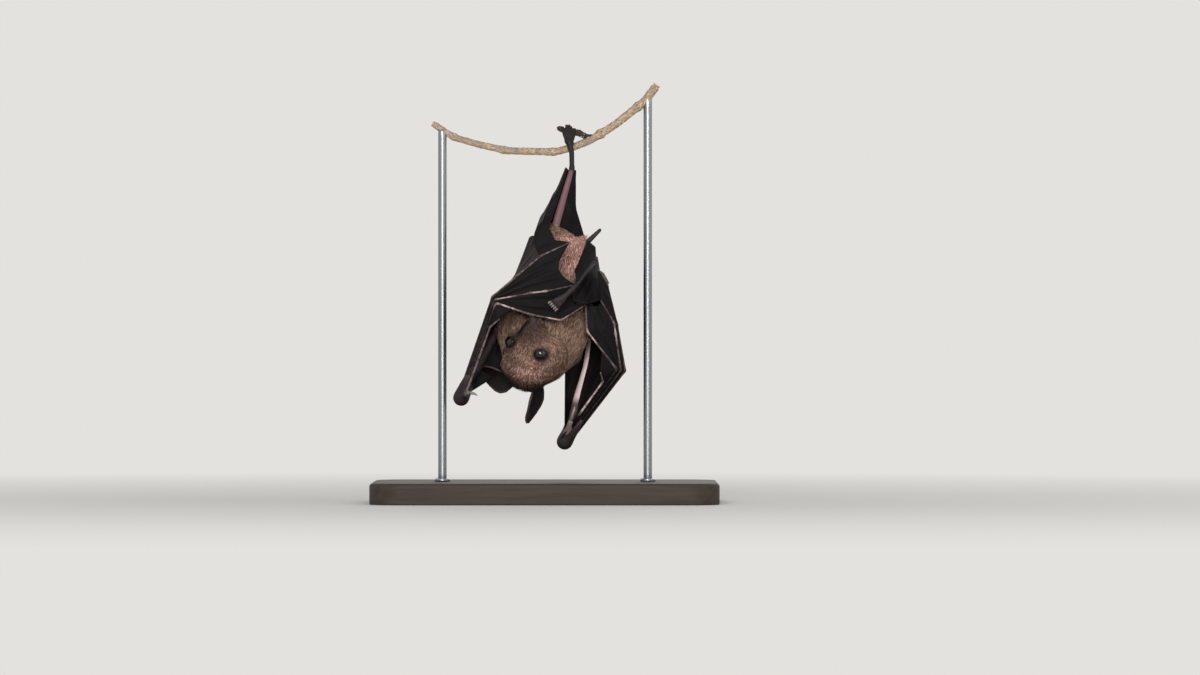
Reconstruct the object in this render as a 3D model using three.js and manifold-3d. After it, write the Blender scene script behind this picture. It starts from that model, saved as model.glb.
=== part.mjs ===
// Short-nosed fruit bat at rest, hanging head down by the left foot from a cut twig on a display stand.
// Millimetres, +Z up, the belly faces -Y. The origin is the centre of the underside of the stand's base.
import * as THREE from "three";
import { ConvexGeometry } from "three/addons/geometries/ConvexGeometry.js";
import { mergeVertices } from "three/addons/utils/BufferGeometryUtils.js";
import Module from "manifold-3d";

const wasm = await Module();
wasm.setup();
const { Manifold } = wasm;

// ---- driving sizes ----
const GAP = 0.32; // air between neighbouring pieces
const SKIN_SHEET = 0.6; // thickness of the wing and tail membranes
const BONE = 0.75; // radius of a finger bone
const FINGER_PITCH = { wrist: 1.9, knuckle: 2.2 }; // spacing of neighbouring finger bones
const FOREARM = 1.6; // radius of the forearm
const WRIST = 3; // radius of the wrist
const UPPER_ARM = 2.6;
const SHIN = 1.5;
const KNEE = 2.5;
const THIGH = 4.2;
const ANKLE = 1.5;
const TOE = 0.75;
const CLAW = 0.4;
const EYE = 2.5; // radius of the eyeball
const EAR_THICK = 1.3;
const BASE = { width: 130, depth: 80, height: 8, corner: 12, chamfer: 1 };
const ROD = { radius: 1.6, left: -38.5, right: 38.5 };
const TWIG = { left: 1.2, right: 1.6 };

// Directions of the trunk: towards the head, the belly and the animal's right side.
const CRANIAL = [-0.4, 0, -0.917];
const VENTRAL = [0.283, -0.951, -0.124];
const SIDE = [0.872, 0.309, -0.38];

// Trunk sections to the tips of the coat: centre, half width, half depth.
const TRUNK = [
  { at: [13.6, 3, 96.6], half: [3.4, 3.4] },
  { at: [11.8, 3, 92], half: [7.2, 7.2] },
  { at: [8.6, 3, 84], half: [10.6, 10] },
  { at: [4.6, 3, 74], half: [14.5, 12] },
  { at: [0.5, 3, 65.4], half: [17.8, 13] },
  { at: [-3.2, 2.5, 58.6], half: [17.6, 12.5] },
  { at: [-5, 0, 51], half: [11.6, 9.8] },
];
const NECK = [
  { at: [-5.4, -1, 50], half: [9.4, 9] },
  { at: [-6.5, -4, 48], half: [7.8, 7.6] },
];

// The head lies along its own axis from the back of the skull to the nose.
const HEAD_AXIS = { back: [-8, -8, 44], nose: [-3, -21, 69.4] };
const HEAD_SIDE = [0.854, -0.376, -0.36];
const HEAD_TOP = [-0.491, -0.811, -0.318];
// Head sections: distance along the axis, half width, half height, rise of the centre.
const HEAD = [
  { along: 3.2, half: [7.2, 6.6], rise: 0 },
  { along: 7.5, half: [10.4, 8.6], rise: 0.2 },
  { along: 13.5, half: [9.6, 8.2], rise: 0.2 },
  { along: 18.5, half: [7.4, 6.6], rise: 0 },
  { along: 23, half: [5.1, 4.9], rise: -0.4 },
  { along: 26.3, half: [3.6, 3.5], rise: -0.6 },
];
const NOSTRIL = { along: 27.6, apart: 3.7, radius: 1.35 };
const EYE_AT = { along: 18.2, side: 5.9, top: 3.7 };

const EARS = {
  left: { base: [-13.4, -5, 46.4], tip: [-24.2, 2.2, 48.2], width: 12, faces: [-0.2, -0.72, -0.62] },
  right: { base: [-2.6, -6, 44], tip: [-5.6, -0.5, 29.8], width: 9.6, faces: [0.8, -0.58, 0.15] },
};

const TAIL = [
  [14.6, 4, 96.6],
  [20.6, 5, 102.4],
];

// Joints of the limbs, and the far ends of the finger bones after each knuckle.
const LEFT = {
  shoulder: [-14, 0, 64.5],
  elbow: [-5.6, 8, 99],
  wrist: [-31.4, -2.7, 39.4],
  bow: [2, 0, 0],
  knuckle: [-18.4, -20.6, 75.4],
  fan: [-0.35, 0.85, 0.4],
  second: 0.78,
  fingers: {
    5: [[-10.5, -18, 84.8], [-1.5, -16.6, 92.4], [9.4, -14.2, 97.5]],
    4: [[-5.1, -18.6, 78.6], [0.6, -17.4, 79.3], [11.3, -14.6, 81.6]],
    3: [[-5.4, -19.8, 71.4], [6, -17.2, 70.3], [14.2, -13.6, 74]],
    2: [[-16.8, -23.4, 68.8]],
  },
  thumb: [[-28.6, -9, 41.4], [-25.2, -8.6, 40.2]],
  hip: [10.5, 2, 95.4],
  knee: [3.4, -8.6, 102],
  ankle: [10.1, -4.6, 125.3],
};
const RIGHT = {
  shoulder: [10.4, 8, 55.6],
  elbow: [21.2, 22, 83.4],
  wrist: [7.3, 10.5, 22.8],
  bow: [2.2, -1, 0],
  knuckle: [27.6, -6, 50],
  fan: [0.8, 0.6, 0],
  second: 0.82,
  fingers: {
    5: [[27, -4.6, 66.8], [23.4, -6.6, 81.6], [19.9, -9.4, 87.4]],
    4: [[26.4, -8.8, 63.4], [25.8, -9.4, 67.6], [20.9, -11.6, 75.8]],
    3: [[15.8, -11.6, 64.4], [15.1, -11.4, 77]],
    2: [[20.8, -10.4, 48.8]],
  },
  thumb: [[9.6, 4.4, 30.4], [11.2, 3.2, 36]],
  hip: [13.5, 2.5, 92.5],
  knee: [18, 4, 91],
  ankle: [11.6, -18.8, 81.4],
};

// The left foot reaches past the twig and hooks over its spur; the right foot hangs free.
const LEFT_FOOT = {
  sole: [10, -4.5, 131.2],
  ball: [9, -4, 135.2],
  pitch: 1.1,
  spread: [1, 0, -0.36],
  toes: [[0, -3, 140], [0, -0.8, 142]],
  claw: [0, 2.2, 140.6],
};
const RIGHT_FOOT = {
  sole: [8.8, -19.6, 78.6],
  ball: [6.2, -20.2, 76.2],
  pitch: 1.1,
  spread: [0.66, 0.1, -0.74],
  reach: [[-1.3, -0.4, -1], [-2.5, 0.2, -2.1]],
  claw: [-3.7, 1.2, -3.4],
};

const TWIG_LINE = [
  [-41.2, 0, 141.6],
  [-34, 0, 137],
  [-25, 0, 134.4],
  [-14, 0, 132],
  [4, 0, 131.6],
  [11.2, 0, 133.6],
  [17, 0, 136],
  [26, 0, 141.6],
  [37.6, 0, 150.8],
  [41, 0, 155.4],
];
const SPUR_LINE = [
  [19, 0, 137],
  [15.6, 0.3, 137.2],
  [12.4, -0.2, 138.8],
  [8.6, 0.1, 139],
  [5.4, -0.1, 140.4],
];

// ---- small vector helpers ----
const V = (p) => new THREE.Vector3(...p);
const add = (p, q, s = 1) => p.map((x, i) => x + q[i] * s);
const mix = (p, q, t) => p.map((x, i) => x + (q[i] - x) * t);
const unit = (p) => V(p).normalize().toArray();
const sub = (p, q) => p.map((x, i) => x - q[i]);
const cross = (p, q) => V(p).cross(V(q)).toArray();
const reach = (p, q) => V(p).distanceTo(V(q));

// ---- solid helpers: each shape is a function of how far it is grown ----
function solidFrom(geometry) {
  geometry.deleteAttribute("normal");
  geometry.deleteAttribute("uv");
  const merged = mergeVertices(geometry, 1e-4);
  return new Manifold(
    new wasm.Mesh({
      numProp: 3,
      vertProperties: new Float32Array(merged.attributes.position.array),
      triVerts: new Uint32Array(merged.index.array),
    }),
  );
}

// The corners of an ellipsoid: its centre, three unit directions and three half sizes.
const WORLD = [[1, 0, 0], [0, 1, 0], [0, 0, 1]];
const ROUGH = 1; // how finely round shapes are split: thin bones
const MEDIUM = 2;
const FINE = 3; // head, trunk and eyes
function egg(at, half, axes = WORLD, detail = ROUGH) {
  const corners = new THREE.OctahedronGeometry(1, detail);
  corners.deleteAttribute("normal");
  corners.deleteAttribute("uv");
  const place = new THREE.Matrix4().makeBasis(
    V(axes[0]).multiplyScalar(half[0]),
    V(axes[1]).multiplyScalar(half[1]),
    V(axes[2]).multiplyScalar(half[2]),
  );
  const { position } = mergeVertices(corners.applyMatrix4(place.setPosition(...at))).attributes;
  const corner = (_, i) => new THREE.Vector3().fromBufferAttribute(position, i);
  return Array.from({ length: position.count }, corner);
}
const ball = (at, radius, detail) => egg(at, [radius, radius, radius], WORLD, detail);
const wrap = (...corners) => solidFrom(new ConvexGeometry(corners.flat()));

// Each set of corners is wrapped together with the next, and the wraps are joined.
function wrapInTurn(sets) {
  return Manifold.union(sets.slice(1).map((next, i) => wrap(sets[i], next)));
}

// Bones and twigs: balls along a line.
function chain(points, radii, detail = ROUGH) {
  return (grow) => wrapInTurn(points.map((p, i) => ball(p, radii[i] + grow, detail)));
}

// Trunk, neck and head: ellipsoids across an axis.
function body(sections, axes, thick) {
  const grownBy = (grow) => ({ at, half }) =>
    egg(at, [half[0] + grow, half[1] + grow, Math.min(thick, half[0]) + grow], axes, FINE);
  return (grow) => wrapInTurn(sections.map(grownBy(grow)));
}

// A point at a share of the length of a polyline.
function line(points) {
  const steps = points.slice(1).map((p, i) => reach(points[i], p));
  const whole = steps.reduce((a, b) => a + b, 0);
  return (t) => {
    let left = Math.min(Math.max(t, 0), 1) * whole;
    for (let i = 0; i < steps.length; i++) {
      if (left <= steps[i] || i === steps.length - 1)
        return mix(points[i], points[i + 1], Math.min(left / steps[i], 1));
      left -= steps[i];
    }
  };
}

// A patch between four edges that meet at their ends.
function patch(low, high, start, end) {
  return (u, v) => {
    const across = mix(low(u), high(u), v);
    const along = mix(start(v), end(v), u);
    const corners = mix(mix(low(0), low(1), u), mix(high(0), high(1), u), v);
    return across.map((x, i) => x + along[i] - corners[i]);
  };
}

// A patch between two edges; the end edge can be hollowed and the middle can belly out.
function web(first, second, { hollow = 0, belly = [0, 0, 0] } = {}) {
  return (u, v) => {
    const t = u * (1 - hollow * Math.sin(Math.PI * v));
    const lift = Math.sin(Math.PI * v) * Math.sin(Math.PI * Math.min(u, 0.92));
    return add(mix(first(t), second(t), v), belly, lift);
  };
}

// A thin closed sheet over a surface of two shares, grown in thickness and at its edges.
function sheet(surface, nu, nv) {
  return (grow) => {
    const p = [];
    for (let i = 0; i <= nu; i++) {
      p.push([]);
      for (let j = 0; j <= nv; j++) p[i].push(V(surface(i / nu, j / nv)));
    }
    const push = (edge, inner) =>
      edge.clone().add(edge.clone().sub(inner).setLength(grow || 1e-9));
    if (grow) {
      for (const row of p) {
        [row[0], row[nv]] = [push(row[0], row[1]), push(row[nv], row[nv - 1])];
      }
      for (let j = 0; j <= nv; j++) {
        [p[0][j], p[nu][j]] = [push(p[0][j], p[1][j]), push(p[nu][j], p[nu - 1][j])];
      }
    }
    const half = SKIN_SHEET / 2 + grow;
    const at = (i, j) => p[Math.min(Math.max(i, 0), nu)][Math.min(Math.max(j, 0), nv)];
    const sides = [[], []];
    for (let i = 0; i <= nu; i++)
      for (let j = 0; j <= nv; j++) {
        const du = at(i + 1, j).clone().sub(at(i - 1, j));
        const dv = at(i, j + 1).clone().sub(at(i, j - 1));
        const n = du.cross(dv).normalize().multiplyScalar(half);
        sides[0].push(...p[i][j].clone().add(n).toArray());
        sides[1].push(...p[i][j].clone().sub(n).toArray());
      }
    const cells = (nu + 1) * (nv + 1);
    const tri = [];
    const quad = (a, b, c, d) => tri.push(a, b, c, a, c, d);
    const id = (i, j) => i * (nv + 1) + j;
    for (let i = 0; i < nu; i++)
      for (let j = 0; j < nv; j++) {
        const [a, b, c, d] = [id(i, j), id(i + 1, j), id(i + 1, j + 1), id(i, j + 1)];
        quad(a, b, c, d);
        quad(cells + d, cells + c, cells + b, cells + a);
      }
    const rim = [];
    for (let i = 0; i < nu; i++) rim.push([id(i, 0), id(i + 1, 0)]);
    for (let j = 0; j < nv; j++) rim.push([id(nu, j), id(nu, j + 1)]);
    for (let i = nu; i > 0; i--) rim.push([id(i, nv), id(i - 1, nv)]);
    for (let j = nv; j > 0; j--) rim.push([id(0, j), id(0, j - 1)]);
    for (const [a, b] of rim) quad(b, a, cells + a, cells + b);
    const skin = new THREE.BufferGeometry();
    skin.setAttribute("position", new THREE.Float32BufferAttribute([...sides[0], ...sides[1]], 3));
    skin.setIndex(tri);
    return solidFrom(skin);
  };
}

const joined = (...shapes) => (grow) => Manifold.union(shapes.map((s) => s(grow)));

// ---- the animal ----
const pieces = []; // { name, shape, colour, cutBy }
function piece(name, shape, colour, cutBy = []) {
  pieces.push({ name, shape, colour, cutBy });
}

const COLOUR = {
  fur: 0x8a7767,
  face: 0x8f6f60,
  ear: 0x3b3230,
  eye: 0x0b0a0b,
  wing: 0x2c2727,
  bone: 0xa88b83,
  arm: 0x5e4b47,
  leg: 0x6b4c4d,
  claw: 0x2a2322,
  twig: 0xb09a78,
  metal: 0x9a9c9e,
  board: 0x33302e,
};

// The perch: a twig that sags in the middle, with a knobbly spur.
const twigRadii = TWIG_LINE.map((_, i) =>
  THREE.MathUtils.lerp(TWIG.left, TWIG.right, i / (TWIG_LINE.length - 1)),
);
const spurRadii = [1.2, 1.05, 1.3, 1.05, 1];
piece("perch", joined(chain(TWIG_LINE, twigRadii), chain(SPUR_LINE, spurRadii)), COLOUR.twig);

// Head.
const muzzle = unit(sub(HEAD_AXIS.nose, HEAD_AXIS.back));
const onHead = (along, side, top) =>
  add(add(add(HEAD_AXIS.back, muzzle, along), HEAD_SIDE, side), HEAD_TOP, top);
const headAxes = [HEAD_SIDE, HEAD_TOP, muzzle];
const headSections = HEAD.map(({ along, half, rise }) => ({ at: onHead(along, 0, rise), half }));
const nostrils = [-1, 1].map((s) => (grow) => {
  const at = onHead(NOSTRIL.along, (s * NOSTRIL.apart) / 2, 0.3);
  const back = onHead(NOSTRIL.along - 3, s * 1.2, 0);
  return wrap(ball(at, NOSTRIL.radius + grow), ball(back, NOSTRIL.radius + grow));
});
for (const [side, s] of [["left", -1], ["right", 1]]) {
  const at = onHead(EYE_AT.along, s * EYE_AT.side, EYE_AT.top);
  piece("eye_" + side, (grow) => wrap(ball(at, EYE + grow, FINE)), COLOUR.eye);
}
const head = joined(body(headSections, headAxes, 3.2), ...nostrils);
piece("head", head, COLOUR.face, ["eye_left", "eye_right"]);

// An ear: a pointed leaf, thin and a little cupped, from its base to its tip.
function ear({ base, tip, width, faces }) {
  const along = unit(sub(tip, base));
  const across = unit(cross(along, faces));
  const out = cross(across, along);
  return (grow) => {
    const slab = (t, w, sink) => {
      const at = add(mix(base, tip, t), out, sink);
      const half = [(w * width) / 2 + grow, EAR_THICK / 2 + grow, 1.2 + grow];
      return egg(at, half, [across, out, along], MEDIUM);
    };
    const parts = [slab(0.04, 0.62, 0.4), slab(0.38, 1, -0.4), slab(0.7, 0.82, -0.2), slab(0.93, 0.3, 0)];
    return wrapInTurn(parts);
  };
}
piece("ear_left", ear(EARS.left), COLOUR.ear, ["head"]);
piece("ear_right", ear(EARS.right), COLOUR.ear, ["head"]);

// Trunk, neck and tail.
const trunkAxes = [SIDE, VENTRAL, CRANIAL].map(unit);
piece("trunk", body(TRUNK, trunkAxes, 5), COLOUR.fur, ["head", "ear_left", "ear_right"]);
piece("neck", body(NECK, trunkAxes, 5), COLOUR.fur, ["head", "ear_left", "ear_right", "trunk"]);
piece("tail", chain(TAIL, [1.5, 0.9]), COLOUR.wing, ["trunk"]);

// Legs.
function toesOf(foot) {
  return [-2, -1, 0, 1, 2].map((k) => {
    const shift = foot.spread.map((x) => x * foot.pitch * k);
    const root = add(foot.ball, shift, 0.62);
    if (foot.reach) {
      const bend = foot.reach.map((r, i) => add(add(foot.ball, r), shift, 0.9 + 0.2 * i));
      return { line: [root, ...bend], claw: add(add(foot.ball, foot.claw), shift, 1.25) };
    }
    const hook = foot.toes.map((p) => [foot.ball[0] + shift[0], p[1], p[2] + shift[2]]);
    const end = [foot.ball[0] + shift[0], foot.claw[1], foot.claw[2] + shift[2]];
    return { line: [root, ...hook], claw: end };
  });
}
for (const [side, limb, foot] of [["left", LEFT, LEFT_FOOT], ["right", RIGHT, RIGHT_FOOT]]) {
  const toes = toesOf(foot);
  const claws = toes.map((t, i) => {
    const name = "claw_" + side + "_" + (i + 1);
    piece(name, chain([mix(t.line[2], t.claw, 0.25), t.claw], [CLAW, CLAW * 0.6]), COLOUR.claw, [
      "perch",
    ]);
    return name;
  });
  const thigh = chain([limb.hip, mix(limb.hip, limb.knee, 0.6), limb.knee], [THIGH, 3.4, KNEE], MEDIUM);
  piece("thigh_" + side, thigh, COLOUR.fur, ["trunk"]);
  piece("shin_" + side, chain([limb.knee, limb.ankle], [KNEE - 0.9, SHIN]), COLOUR.leg, [
    "thigh_" + side,
    "trunk",
  ]);
  const sole = chain([limb.ankle, foot.sole, foot.ball], [ANKLE, 1.7, 1.6]);
  const pad = (grow) => wrap(ball(toes[0].line[0], 1.1 + grow), ball(toes[4].line[0], 1.1 + grow));
  const digits = toes.map((t) => chain(t.line, [TOE, TOE, TOE * 0.85]));
  piece("foot_" + side, joined(sole, pad, ...digits), COLOUR.leg, [
    "perch",
    ...claws,
    "shin_" + side,
  ]);
}

// Wings: arm, thumb, fingers.
function fingersOf(limb) {
  const ray = unit(sub(limb.knuckle, limb.wrist));
  const lean = V(limb.fan).dot(V(ray));
  const fan = unit(sub(limb.fan, ray.map((x) => x * lean)));
  const lines = {};
  for (const k of [2, 3, 4, 5]) {
    const start = add(limb.wrist, fan, (k - 3.5) * FINGER_PITCH.wrist);
    const knuckle = add(limb.knuckle, fan, (k - 3.5) * FINGER_PITCH.knuckle);
    const end = k === 2 ? mix(start, knuckle, limb.second) : knuckle;
    lines[k] = [start, end, ...limb.fingers[k]];
  }
  return lines;
}
const fingers = { left: fingersOf(LEFT), right: fingersOf(RIGHT) };
for (const [side, limb] of [["left", LEFT], ["right", RIGHT]]) {
  piece(
    "upper_arm_" + side,
    chain([limb.shoulder, limb.elbow], [UPPER_ARM + 1, UPPER_ARM - 0.4]),
    COLOUR.fur,
    ["trunk", "neck", "thigh_" + side],
  );
  const belly = add(mix(limb.elbow, limb.wrist, 0.55), limb.bow);
  const arm = chain([limb.elbow, belly, limb.wrist], [FOREARM + 0.4, FOREARM, WRIST]);
  piece("forearm_" + side, arm, COLOUR.arm, ["upper_arm_" + side, "trunk", "thigh_" + side]);
  const [joint, tip] = limb.thumb;
  piece("thumb_claw_" + side, chain([joint, tip], [0.8, 0.4]), COLOUR.claw);
  piece("thumb_" + side, chain([limb.wrist, joint], [1.3, 0.9]), COLOUR.arm, [
    "forearm_" + side,
    "thumb_claw_" + side,
  ]);
  for (const k of [2, 3, 4, 5]) {
    const points = fingers[side][k];
    const radii = points.map((_, i) => (i < 2 ? BONE : BONE - 0.07 * i));
    piece("finger_" + k + "_" + side, chain(points, radii), COLOUR.bone, [
      "forearm_" + side,
      "thumb_" + side,
      "thumb_claw_" + side,
    ]);
  }
}

// Membranes. Each one ends against the bones, the trunk and the legs beside it.
const bonesOf = (side) => [
  ...[2, 3, 4, 5].map((k) => "finger_" + k + "_" + side),
  "forearm_" + side,
  "upper_arm_" + side,
  "thumb_" + side,
  "thumb_claw_" + side,
];
const LEGS = ["left", "right"].flatMap((s) => [
  "thigh_" + s,
  "shin_" + s,
  "foot_" + s,
  ...[1, 2, 3, 4, 5].map((i) => "claw_" + s + "_" + i),
]);
const CORE = ["trunk", "neck", "head", "ear_left", "ear_right", "tail", ...LEGS];
const bones = [...bonesOf("left"), ...bonesOf("right")];
const membranes = [];
function membrane(name, shape) {
  piece(name, shape, COLOUR.wing, [...CORE, ...bones, ...membranes]);
  membranes.push(name);
}
const tipsOf = (side, k) => line(fingers[side][k].slice(1));
const HOLLOW = { left: [0.17, 0.08], right: [0.02, 0.1] };
for (const side of ["left", "right"]) {
  const [h45, h34] = HOLLOW[side];
  membrane("membrane_4_5_" + side, sheet(web(tipsOf(side, 4), tipsOf(side, 5), { hollow: h45 }), 8, 5));
  membrane("membrane_3_4_" + side, sheet(web(tipsOf(side, 3), tipsOf(side, 4), { hollow: h34 }), 8, 5));
  const third = fingers[side][3];
  const edge = line([mix(third[0], third[1], 0.76), third[1], mix(third[1], third[2], 0.5)]);
  membrane("membrane_2_3_" + side, sheet(web(tipsOf(side, 2), edge), 6, 2));
}

// Left wing sheet: from the forearm to the fifth finger, on to the ankle, and back to the leg.
{
  const f5 = fingers.left[5];
  const arm = line([LEFT.wrist, LEFT.elbow]);
  const ray = line(f5.slice(0, 4));
  const outer = sheet(web(arm, ray), 10, 5);
  const heel = add(LEFT.ankle, [-1.6, -0.4, -0.6]);
  const fold = line([LEFT.elbow, [-0.8, 6, 108.5], [4.6, 2, 118], add(heel, [-0.7, 1.4, 1])]);
  const shinEdge = [[3.6, -14.4, 98.4], [1.2, -13.2, 103], [2.6, -11, 108.5], [5.4, -7.6, 117.5]];
  const trailing = line([f5[4], ...shinEdge, heel]);
  const low = line([LEFT.elbow, f5[3], f5[4]]);
  const top = line([add(heel, [-0.7, 1.4, 1]), heel]);
  const front = sheet(patch(low, top, fold, trailing), 6, 8);
  const leg = line([[2, 5, 91], [2.8, -5, 100.5], add(LEFT.knee, [0.6, 1.4, 3]), add(heel, [0.4, 1, 0])]);
  const inner = sheet(web(fold, leg), 8, 3);
  membrane("wing_sheet_left", outer);
  membrane("wing_front_left", front);
  membrane("wing_inner_left", inner);
  const lead = line([LEFT.wrist, LEFT.elbow]);
  const upper = line([[-12, -3, 58], LEFT.shoulder, LEFT.elbow]);
  membrane("arm_sheet_left", sheet(web(lead, upper), 6, 4));
}

// Right wing sheet: wrapped round the flank, from the forearm to the fifth finger and the free leg.
{
  const f5 = fingers.right[5];
  const arm = line([RIGHT.wrist, RIGHT.elbow]);
  const ray = line(f5.slice(0, 4));
  const outer = sheet(web(arm, ray), 10, 5);
  const low = line([RIGHT.elbow, [24, 8, 82.5], f5[3]]);
  const kneeSide = add(RIGHT.knee, [1.6, 3, 1.4]);
  const heel = add(RIGHT.ankle, [0.8, 1, 1.6]);
  const back = line([RIGHT.elbow, [20.2, 12, 88.6], kneeSide]);
  const dip = [[20.7, -12.4, 76.6], [14.6, -15.4, 74.6], [11.4, -16.6, 77]];
  const trailing = line([f5[3], f5[4], ...dip, heel]);
  const front = sheet(patch(low, line([kneeSide, heel]), back, trailing), 6, 6);
  const flank = line([[13, 13, 70], [14, 11, 84], kneeSide]);
  const inner = sheet(web(back, flank), 5, 4);
  membrane("wing_sheet_right", outer);
  membrane("wing_front_right", front);
  membrane("wing_inner_right", inner);
  const lead = line([RIGHT.wrist, RIGHT.elbow]);
  const upper = line([[7.6, 3, 50.5], RIGHT.shoulder, RIGHT.elbow]);
  membrane("arm_sheet_right", sheet(web(lead, upper), 6, 4));
}

// Tail membranes: from the tail to each leg.
{
  const heel = add(LEFT.ankle, [0.8, 0.6, -0.6]);
  const loose = add(heel, [0.7, 0.3, 0]);
  const root = line([LEFT.knee, LEFT.hip, [14.6, 3.4, 100.2]]);
  const shin = line([LEFT.knee, heel]);
  const edge = line([[14.6, 3.4, 100.2], [11.4, 0, 111], loose]);
  membrane("tail_membrane_left", sheet(patch(root, line([heel, loose]), shin, edge), 5, 7));
}
{
  const heel = add(RIGHT.ankle, [0.6, 1, 1.4]);
  const loose = add(heel, [-0.6, -0.4, 0.6]);
  const knee = [19, 0.5, 92.4];
  const tailRoot = [15.8, 1.2, 98.4];
  const root = line([knee, [18.8, 1.4, 96], tailRoot]);
  const shin = line([knee, heel]);
  const edge = line([tailRoot, [14, -5, 93.6], [11.2, -10.4, 87.4], loose]);
  membrane("tail_membrane_right", sheet(patch(root, line([heel, loose]), shin, edge), 5, 6));
}

// ---- the stand ----
function roundedBoard({ width, depth, height, corner, chamfer }) {
  const [x, y, r] = [width / 2 - chamfer, depth / 2 - chamfer, corner - chamfer];
  const outline = new THREE.Shape();
  outline.absarc(x - r, y - r, r, 0, Math.PI / 2);
  outline.absarc(r - x, y - r, r, Math.PI / 2, Math.PI);
  outline.absarc(r - x, r - y, r, Math.PI, Math.PI * 1.5);
  outline.absarc(x - r, r - y, r, Math.PI * 1.5, Math.PI * 2);
  return new THREE.ExtrudeGeometry(outline, {
    depth: height - 2 * chamfer,
    bevelThickness: chamfer,
    bevelSize: chamfer,
    bevelSegments: 1,
    curveSegments: 6,
  }).translate(0, 0, chamfer);
}
piece("stand_base", () => solidFrom(roundedBoard(BASE)), COLOUR.board);

// A rod stands on the base and ends in a notch under the twig.
function rod(x, top) {
  const length = top - BASE.height;
  const bar = new THREE.CylinderGeometry(ROD.radius, ROD.radius, length, 16);
  return () => solidFrom(bar.rotateX(Math.PI / 2).translate(x, 0, BASE.height + length / 2));
}
piece("stand_rod_left", rod(ROD.left, 139.6), COLOUR.metal, ["perch"]);
piece("stand_rod_right", rod(ROD.right, 152), COLOUR.metal, ["perch"]);

// ---- cutting and output ----
const shapes = new Map(pieces.map((p) => [p.name, p.shape]));
const grown = new Map();
function grownShape(name) {
  if (!grown.has(name)) grown.set(name, shapes.get(name)(GAP));
  return grown.get(name);
}

// The largest body left after the neighbours have been taken away.
function finished({ shape, cutBy }) {
  const cut = cutBy.reduce((solid, other) => solid.subtract(grownShape(other)), shape(0));
  const bodies = cut.simplify(0.05).decompose();
  return bodies.sort((a, b) => b.volume() - a.volume())[0];
}

function meshOf(piece) {
  const { vertProperties, triVerts } = finished(piece).getMesh();
  const shared = new THREE.BufferGeometry();
  shared.setAttribute("position", new THREE.Float32BufferAttribute(vertProperties, 3));
  shared.setIndex(new THREE.Uint32BufferAttribute(triVerts, 1));
  const geometry = shared.toNonIndexed();
  geometry.computeVertexNormals();
  const finish = { color: piece.colour, roughness: piece.colour === COLOUR.eye ? 0.1 : 0.8 };
  const mesh = new THREE.Mesh(geometry, new THREE.MeshStandardMaterial(finish));
  mesh.name = piece.name;
  return mesh;
}

const bat = new THREE.Group();
const perch = new THREE.Group();
const stand = new THREE.Group();
for (const p of pieces) {
  const group = p.name.startsWith("stand_") ? stand : p.name === "perch" ? perch : bat;
  group.add(meshOf(p));
}
const model = new THREE.Group();
model.add(bat, perch, stand);
export default model;
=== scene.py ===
import math

import bpy
import numpy as np
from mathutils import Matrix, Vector


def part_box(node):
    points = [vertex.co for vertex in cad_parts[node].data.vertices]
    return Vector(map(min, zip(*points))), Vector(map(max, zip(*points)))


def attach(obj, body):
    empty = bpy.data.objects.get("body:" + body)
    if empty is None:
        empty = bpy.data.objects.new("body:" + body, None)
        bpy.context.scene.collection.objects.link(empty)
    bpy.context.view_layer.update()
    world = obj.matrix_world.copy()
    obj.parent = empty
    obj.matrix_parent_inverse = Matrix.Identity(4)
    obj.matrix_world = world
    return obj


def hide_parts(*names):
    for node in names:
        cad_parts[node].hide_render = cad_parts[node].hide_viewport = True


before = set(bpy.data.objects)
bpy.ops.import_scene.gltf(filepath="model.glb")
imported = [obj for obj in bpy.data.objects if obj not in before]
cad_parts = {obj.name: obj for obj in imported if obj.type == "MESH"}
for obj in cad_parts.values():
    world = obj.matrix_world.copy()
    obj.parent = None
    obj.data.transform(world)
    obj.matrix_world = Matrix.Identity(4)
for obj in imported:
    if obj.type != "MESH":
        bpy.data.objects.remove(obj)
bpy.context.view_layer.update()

MM = 0.001
rng = np.random.default_rng(7)

# ---- sizes and places, in millimetres ----
COAT = {"trunk": 1.3, "crown": 1.0, "muzzle": 0.25, "limb": 0.6}  # depth of the coat over the skin
MEMBRANE = 0.36  # thickness of the wing skin
BONE = 0.52  # radius of a finger bone in its skin
FINGER_PITCH = {"wrist": 1.6, "knuckle": 2.2}  # from one long hand bone to the next
FINGER_JOINT = {"swelling": 0.2, "half": 1.1}  # what a joint adds to the radius, and over what length
EYE = 2.5  # radius of the eyeball
CLAY_STEP = 0.34  # spacing of the grid that the skin is drawn from

# The trunk's own directions: towards the head, out of the belly, and to its right.
CRANIAL = np.array([-0.4, 0, -0.917])
VENTRAL = np.array([0.283, -0.951, -0.124])
SIDE = np.array([0.872, 0.309, -0.38])

# Sections of trunk and neck, from the rump to the nape: centre, half width, half depth.
TRUNK = [
    ((13.6, 3, 96.6), 3.4, 3.4),
    ((11.8, 3, 92), 7.2, 7.2),
    ((8.6, 3, 84), 10.6, 10),
    ((4.6, 3, 74), 14.5, 12),
    ((0.3, 3, 65.4), 17.3, 13),
    ((-3.9, 2.5, 58.6), 16.7, 12.5),
    ((-5.4, 0, 51.4), 11, 9.8),
    ((-6.5, -4, 48.6), 7.8, 7.6),
]
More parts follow.
